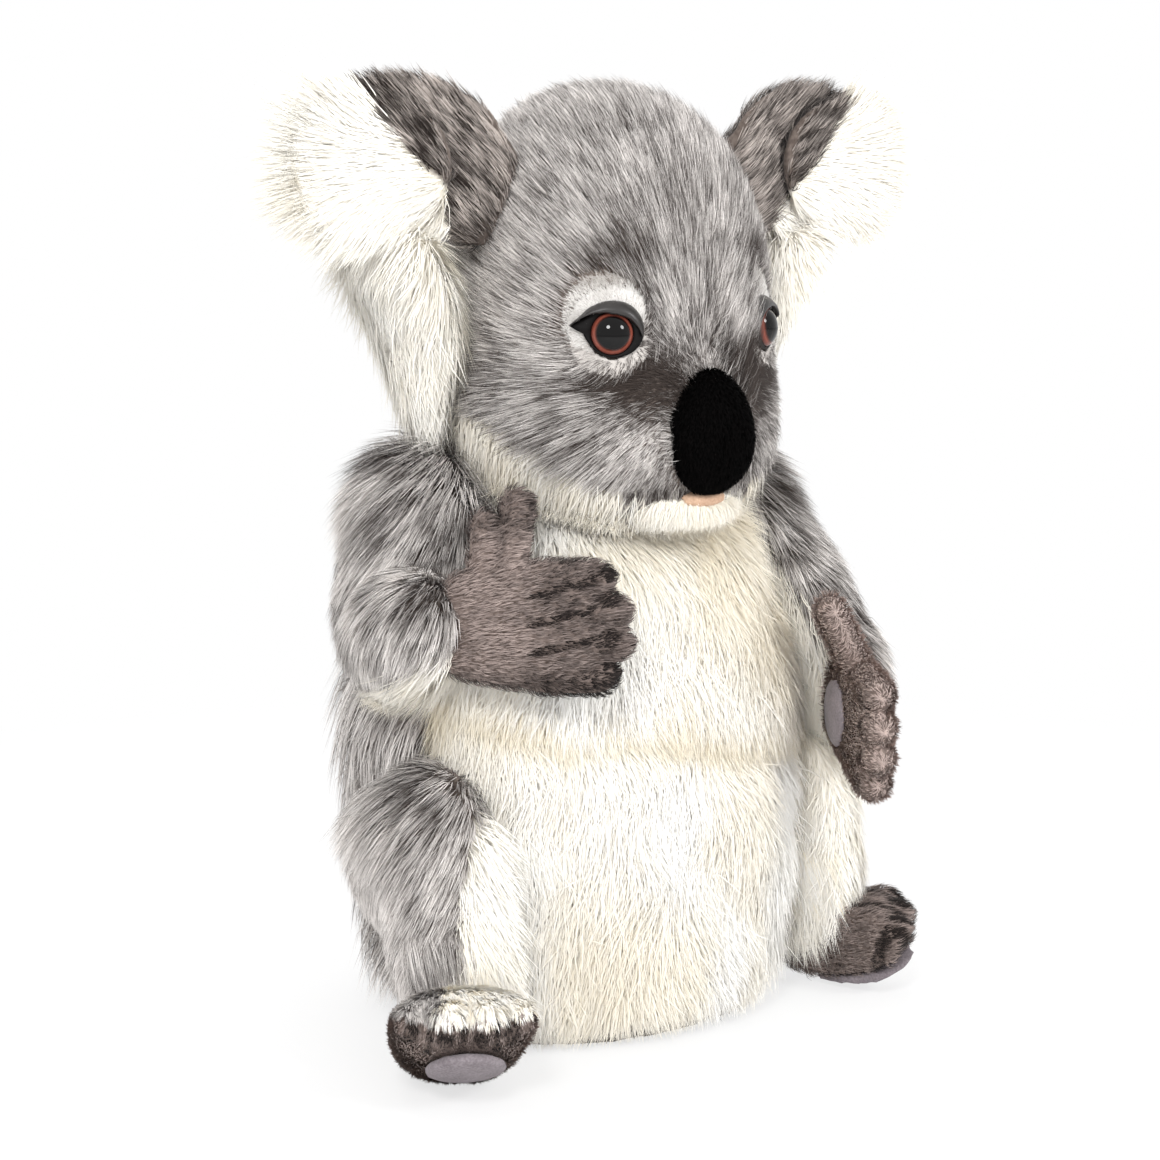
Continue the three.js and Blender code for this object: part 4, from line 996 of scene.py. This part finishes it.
# Grey and white pile: coat, seeds at the ankle and on the instep, and their tones.
footTops = {"Fur": ("grey", 63, 65, 0.55, 0.6), "Down": ("whiteOver", 64, 66, 0.7, 0.7)}
for word, side in sides.items():
    leg = legs[word]
    markDown(word + "FootSkin", lambda p, n: legWhiteShare(p, side) * (p[:, 2] > instepUp) * (side < 0))
    for kind, (coat, ankleSeed, instepSeed, ankleTone, instepTone) in footTops.items():
        share = lambda p: legWhiteShare(p, side) if kind == "Down" else 1 - legWhiteShare(p, side)
        # long pile from the end of the leg that hangs over the top of the foot
        fur(word + "Ankle" + kind, [word + "LegSkin"], coat,
            {**ankle, "count": leg["ankles"], "seed": ankleSeed},
            lambda p, n: share(p) * (n[:, 1] < -0.2) * (p[:, 2] > ankle["from"]) * (p[:, 2] < ankle["to"]),
            (0.1 * side, -0.35, -0.9), leg["ankleLong"], cloudy(ankleTone, (5, 0.5)))
        if side < 0:
            fur(word + "Instep" + kind, [word + "FootSkin"], coat, {**instep, "seed": instepSeed},
                lambda p, n: share(p) * (p[:, 2] > instepUp), (-0.1, -0.4, -0.9), instep["long"],
                cloudy(instepTone, (5, 0.5)))


# Hands and feet

handPose = {"right": {"wrist": (73, -23, 121), "turn": 49, "drop": 0},
            "left": {"wrist": (70, -29, 89), "turn": 30, "drop": 8}}
footPose = {"right": {"heel": (71, -36, 10.9), "turn": 30, "pitch": 28, "roll": 0},
            "left": {"heel": (54, -27, 10.9), "turn": 42, "pitch": 18, "roll": 16}}


def handAxes(word):
    # wrist, then the ways that the fingers point and the thumb stands
    side, pose = sides[word], handPose[word]
    level = turned(forward, upward, -side * pose["turn"])
    hinge = unit(np.cross(level, upward))
    ahead = turned(level, hinge, -pose["drop"])
    out, back, up = pose["wrist"]
    return np.array([side * out, back, up], float), ahead, np.cross(hinge, ahead)


def footAxes(word):
    # heel, then the ways that the toes point, across the toes and up from the instep
    side, pose = sides[word], footPose[word]
    level = turned(forward, upward, side * pose["turn"])
    hinge = unit(np.cross(level, upward))
    ahead = turned(level, hinge, pose["pitch"])
    hinge = turned(hinge, ahead, side * pose["roll"])
    out, back, up = pose["heel"]
    return np.array([side * out, back, up]), ahead, hinge, np.cross(hinge, ahead)


def digitMarks(p, origin, ahead, across, marks):
    # Dark lines between the digits and a dark spot near the end of each, from 0 to the marks' weight.
    along = (p - origin) @ ahead
    aside = clouded(p, (p - origin) @ across, (3.0, 0.8))
    start, end = marks["lines"]
    slanted = aside - marks["slope"] * (along - start)
    dark = np.zeros(len(p))
    for gap in (-1, 0, 1):
        run = smoothStep(start - 1, start + 1, along) * smoothStep(end + 1, end - 1, along)
        off = np.abs(slanted - gap * marks["spacing"] - marks["shift"])
        dark = np.maximum(dark, run * smoothStep(1.3, 0.6, off))
    for spot in marks["spots"]:
        d = np.hypot((along - marks["spotAt"]) / 3.0, (aside - spot) / 2.2)
        dark = np.maximum(dark, smoothStep(1.3, 0.5, d))
    return dark * marks["weight"]


# The left hand's higher tone is painted light, as its surfaces face down, away from the lamps.
handMarks = {
    "right": {"lines": (28, 45), "slope": 0.24, "spacing": 7.6, "shift": 1.2, "spots": (-10.4, -2.6, 7.6, 14.6),
              "spotAt": 48, "weight": 0.9, "tone": 0.56},
    "left": {"lines": (28, 45), "slope": 0.0, "spacing": 8.5, "shift": 0, "spots": (-12.7, -4.2, 4.2, 12.7),
             "spotAt": 47, "weight": 0.35, "tone": 0.95},
}
footMarks = {
    "right": {"lines": (25, 36), "slope": 0.0, "spacing": 8.5, "shift": 1.2, "spots": (-11.4, -3.1, 6.0, 14.4),
              "spotAt": 30, "weight": 0.9, "tone": 0.58},
    "left": {"lines": (20, 34), "slope": 0.0, "spacing": 8.8, "shift": 0, "spots": (-13.0, -4.4, 4.4, 13.0),
             "spotAt": 33, "weight": 0.7, "tone": 0.36},
}


def handTone(p, n):
    # marks between the digits; the right hand darkens towards its fingers and its thumb, and along its lower
    # edge as painted shade
    q, lit = p - wrist, side < 0
    return (clouded(p, handMarks[word]["tone"], (4.0, 0.3)) - digitMarks(p, wrist, ahead, up, handMarks[word])
            - 0.28 * smoothStep(24, 34, q @ ahead) * lit - 0.3 * smoothStep(-9, -14, q @ up) * lit
            - 0.3 * smoothStep(18, 26, q @ up) * lit)


def footTone(p, n):
    # marks between the toes, paler under the ball of the foot
    ball = nearTo((p - heel) @ np.stack([ahead, across, rise], 1), (28, 0, -6), (8, 30, 6))
    return (clouded(p, footMarks[word]["tone"], (5.0, 0.4))
            - digitMarks(p, heel, ahead, across, footMarks[word]) + 0.12 * ball)


handPile = {"count": 14500, "seed": 71, "long": 3.1}
footPile = {"count": 12000, "seed": 72, "long": 3.1, "overlap": 1.5}
for word, side in sides.items():
    wrist, ahead, up = handAxes(word)
    fur(word + "HandPile", [word + "HandSkin"], "taupe", handPile, 1, tuple(ahead + 0.2 * up),
        handPile["long"], handTone)
    heel, ahead, across, rise = footAxes(word)
    fur(word + "FootPile", [word + "FootSkin"], "taupe", footPile,
        lambda p, n: (p[:, 2] < instepUp - footPile["overlap"]) | (side > 0),
        tuple(ahead), footPile["long"], footTone)
print("stage: hands and feet")


# Face: eyes, lids, nose

def gridMesh(name, grid, uv=None):
    # A surface on a grid of points, rows by columns, joined round its columns; poles are merged.
    rows, columns = grid.shape[:2]
    mesh = bpy.data.meshes.new(name)
    index = np.arange(rows * columns).reshape(rows, columns)
    following = np.roll(index, -1, 1)
    quads = np.stack([index[:-1], following[:-1], following[1:], index[1:]], -1).reshape(-1, 4)
    mesh.from_pydata((grid.reshape(-1, 3) * mm).tolist(), [], quads.tolist())
    if uv is not None:
        loops = np.zeros(len(mesh.loops), np.int32)
        mesh.loops.foreach_get("vertex_index", loops)
        setUv(mesh, uv, loops)
    shape = bmesh.new()
    shape.from_mesh(mesh)
    bmesh.ops.remove_doubles(shape, verts=shape.verts, dist=1e-6)
    bmesh.ops.recalc_face_normals(shape, faces=shape.faces)
    shape.to_mesh(mesh)
    shape.free()
    setSmooth(mesh)
    return mesh


def revolve(name, profile, place, axis, around=64):
    # Each profile row is out from the axis, along the axis, and its share of the radius for the colours.
    profile = np.array(profile, float)
    helper = unit(np.cross(axis, upward))
    other = np.cross(axis, helper)
    a = np.linspace(0, 2 * math.pi, around, endpoint=False)
    ring = np.cos(a)[:, None] * helper + np.sin(a)[:, None] * other
    grid = place + profile[:, 1][:, None, None] * axis + profile[:, 0][:, None, None] * ring[None]
    uv = np.zeros(grid.shape[:2] + (2,))
    uv[..., 0] = np.linspace(0.02, 0.98, around)[None]
    uv[..., 1] = profile[:, 2][:, None]
    return gridMesh(name, grid, uv)


# From the middle to the rim of the eye: share of the radius and colour.
irisStops = [(0.0, (3, 2, 2)), (0.7, (4, 3, 3)), (0.75, (60, 28, 23)), (0.82, (138, 74, 60)),
             (0.89, (112, 56, 46)), (0.94, (26, 14, 12)), (1.0, (5, 4, 4))]


def eyeMaterial():
    # Black pupil, a thin red-brown iris ring and a black rim, by the share of the radius.
    material, tree, shader = newMaterial("glassEye", {"Roughness": 0.04, "Specular IOR Level": 0.25})
    rings = tree.nodes.new("ShaderNodeValToRGB")
    stops = rings.color_ramp.elements
    while len(stops) < len(irisStops):
        stops.new(0.5)
    for stop, (place, colour) in zip(stops, irisStops):
        stop.position, stop.color = place, linear(*colour)
    feed(tree, rings.inputs["Fac"], bakedUv(tree)["Y"])
    feed(tree, shader.inputs["Base Color"], rings.outputs["Color"])
    return material


eyeShape = {"radius": 6.0, "bulge": 5.0, "rim": 1.0, "shankRadius": 1.9, "shankLength": 12.0}
# rows are angle, inner and outer radius; section is share across and height
lidShape = {
    "seat": 0.9, "steps": 49,
    "rows": [(10, 11.2, 11.6), (24, 9.2, 9.9), (34, 8.1, 9.3), (58, 6.1, 9.0), (90, 4.9, 9.0), (116, 5.0, 9.1),
             (130, 5.4, 9.1), (159, 6.4, 8.9), (186, 7.9, 8.4)],
    "section": [(0, 1.8), (0.0, 2.8), (0.1, 3.3), (0.3, 3.3), (0.6, 2.5), (0.85, 1.2), (1, 0.0), (0.5, -0.3)],
}
# reach is angle and outer radius; section is radius, or None for the reach, and height
rimShape = {
    "steps": 72,
    "reach": [(0, 7.6), (7, 10.0), (12, 12.0), (18, 9.6), (34, 8.4), (90, 7.2), (150, 7.4), (185, 8.4),
              (215, 7.6), (250, 6.5), (300, 6.1), (335, 6.5)],
    "section": [(5.5, 0.2), (5.9, 1.0), (None, 0.75), (None, 0.1), (5.5, 0.1)],
}
glass = eyeMaterial()


def eyeProfile():
    # a dome of an ellipse's quarter, a short rim and a shank; radius, height and share of the radius
    e = eyeShape
    t = np.linspace(0, math.pi / 2, 22)
    dome = [(e["radius"] * math.sin(x), e["bulge"] * math.cos(x), math.sin(x)) for x in t]
    return dome + [(e["radius"], -e["rim"] * 0.7, 1), (e["radius"] * 0.94, -e["rim"], 1),
                   (e["shankRadius"], -e["rim"], 1), (e["shankRadius"], -e["shankLength"] * 0.97, 1),
                   (e["shankRadius"] * 0.8, -e["shankLength"], 1), (0, -e["shankLength"], 1)]


def lidGrid(seat, eye):
    # A padded crescent over the eye. Angle runs from the outer corner over the top to the inner one,
    # share runs round the crescent's section; both radii and the height come from the rows of lidShape.
    rows, section = np.array(lidShape["rows"], float), np.array(lidShape["section"])
    angle = np.linspace(rows[0, 0], rows[-1, 0], lidShape["steps"])
    near, far = (np.interp(angle, rows[:, 0], rows[:, k])[:, None] for k in (1, 2))
    across = near + (far - near) * section[None, :, 0]
    thin = np.sin(np.clip((angle - angle[0]) / (angle[-1] - angle[0]), 0, 1) * math.pi)[:, None] ** 0.5
    height = lidShape["seat"] + section[None, :, 1] * (0.35 + 0.65 * thin)
    a = np.radians(angle)[:, None, None]
    lid = (seat + across[..., None] * (np.cos(a) * eye["outer"] + np.sin(a) * eye["brow"])
           + height[..., None] * eye["axis"])
    ends = [np.repeat(end.mean(1, keepdims=True), len(section), 1) for end in (lid[:1], lid[-1:])]
    return np.concatenate([ends[0], lid, ends[1]], 0)


def rimGrid(seat, eye):
    # A flat black ring under the lid, drawn out to a point at the outer corner.
    angle = np.linspace(0, 360, rimShape["steps"], endpoint=False)
    reach = np.interp(angle, *np.array(rimShape["reach"], float).T, period=360)
    a = np.radians(angle)[:, None]
    ring = []
    for out, high in rimShape["section"]:
        radius = reach if out is None else np.full(len(angle), out)
        ring.append(seat + radius[:, None] * (np.cos(a) * eye["outer"] + np.sin(a) * eye["brow"])
                    + (high + lidShape["seat"]) * eye["axis"])
    return np.stack(ring + ring[:1], 0)


for word, eye in eyes.items():
    seat = eye["apex"] - eye["axis"] * eyeShape["bulge"]
    ball = revolve(word + "GlassEye", eyeProfile(), seat, eye["axis"])
    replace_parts(addPiece(word + "GlassEye", ball, "head_body", glass), word + "_eye")
    lid = gridMesh(word + "Lid", lidGrid(seat, eye))
    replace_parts(addPiece(word + "Lid", lid, "head_body", naps["blackVinyl"]), word + "_eyelid")
    addPiece(word + "EyeRim", gridMesh(word + "EyeRim", rimGrid(seat, eye)), "head_body",
             naps["rimVinyl"])
    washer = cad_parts[word + "_eye_washer"].data
    washer.materials.clear()
    washer.materials.append(naps["whitePlastic"])

noseFlock = {"count": 9000, "seed": 81, "width": 0.28, "sunk": 0.1, "lift": 1.0, "clumpSize": 1.2, "stray": 0.3}
fur("noseFlock", ["noseSkin"], "velvet", noseFlock, lambda p, n: n[:, 1] < 0.3, tuple(-upward), 1.7, 0.5)
print("stage: face")


# Camera, lamps and floor

def addObject(name, data, place=None, aim=None):
    # an object in the scene, where place is given looking from there at aim along its own -Z
    thing = bpy.data.objects.new(name, data)
    bpy.context.scene.collection.objects.link(thing)
    if place:
        thing.location = place
        thing.rotation_mode = "QUATERNION"
        thing.rotation_quaternion = (Vector(aim) - Vector(place)).to_track_quat("-Z", "Y")
    return thing


view = {"place": (-0.464, -0.6135, 0.2426), "aim": (-0.00255, 0.00193, 0.1234), "lens": 84.8, "sensor": 36}
camera = addObject("camera", bpy.data.cameras.new("camera"), view["place"], view["aim"])
bpy.context.scene.camera = camera
camera.data.lens, camera.data.sensor_width = view["lens"], view["sensor"]
camera.data.clip_start, camera.data.clip_end = 0.05, 20

lampAim = (0, 0, 0.13)
lamps = {
    "leftLamp": {"place": (-0.83, -0.764, 0.931), "size": 0.34, "power": 9.4},
    "rightLamp": {"place": (0.414, -1.098, 0.824), "size": 0.34, "power": 7.5},
    "topLamp": {"place": (0.1, 0.45, 1.3), "size": 0.9, "power": 5.0},
}
for name, lamp in lamps.items():
    light = bpy.data.lights.new(name, "AREA")
    light.shape, light.size, light.energy = "DISK", lamp["size"], lamp["power"]
    addObject(name, light, lamp["place"], lampAim)

studio = {"lit": 0.8, "shown": 1.0}  # strength of the world on the object, and where the camera sees it
world = bpy.data.worlds.new("studio")
bpy.context.scene.world = world
world.use_nodes = True
tree = world.node_tree
tree.nodes.clear()
rays = addNode(tree, "LightPath")
seen = mathNode(tree, "MAXIMUM", rays["Is Camera Ray"], rays["Is Transmission Ray"])
seen = mathNode(tree, "MAXIMUM", seen, rays["Is Glossy Ray"])
lit, shown = (addNode(tree, "Background", {"Color": (1, 1, 1, 1), "Strength": studio[part]})[0]
              for part in ("lit", "shown"))
addNode(tree, "OutputWorld", {"Surface": addNode(tree, "MixShader", {0: seen, 1: lit, 2: shown})[0]})

# A pale paper floor that keeps the shadow near the toy and turns into the white background further off.
paper = {"half": 4, "colour": (0.9, 0.9, 0.9, 1), "near": 0.12, "far": 0.45, "nearGlow": 0.7}
floorMesh = bpy.data.meshes.new("floor")
h = paper["half"]
floorMesh.from_pydata([(-h, -h, 0), (h, -h, 0), (h, h, 0), (-h, h, 0)], [], [(0, 1, 2, 3)])
floor = addObject("floor", floorMesh)
material, tree, shader = newMaterial("paperFloor", {"Roughness": 0.95, "Specular IOR Level": 0.1,
                                                    "Base Color": paper["colour"]})
farOff = addNode(tree, "VectorMath", {0: addNode(tree, "TexCoord")["Object"]}, operation="LENGTH")["Value"]
spread = addNode(tree, "MapRange", {"Value": farOff, "From Min": paper["near"], "From Max": paper["far"],
                                    "To Min": paper["nearGlow"], "To Max": 1.0})
share = mathNode(tree, "MULTIPLY", addNode(tree, "LightPath")["Is Camera Ray"], spread["Result"])
glow = addNode(tree, "Emission", {"Strength": 1.0})[0]
mixed = addNode(tree, "MixShader", {0: share, 1: shader.outputs[0], 2: glow})[0]
feed(tree, tree.nodes["Material Output"].inputs["Surface"], mixed)
floorMesh.materials.append(material)

bpy.context.scene.view_settings.view_transform = "Standard"
print("stage: camera and light")
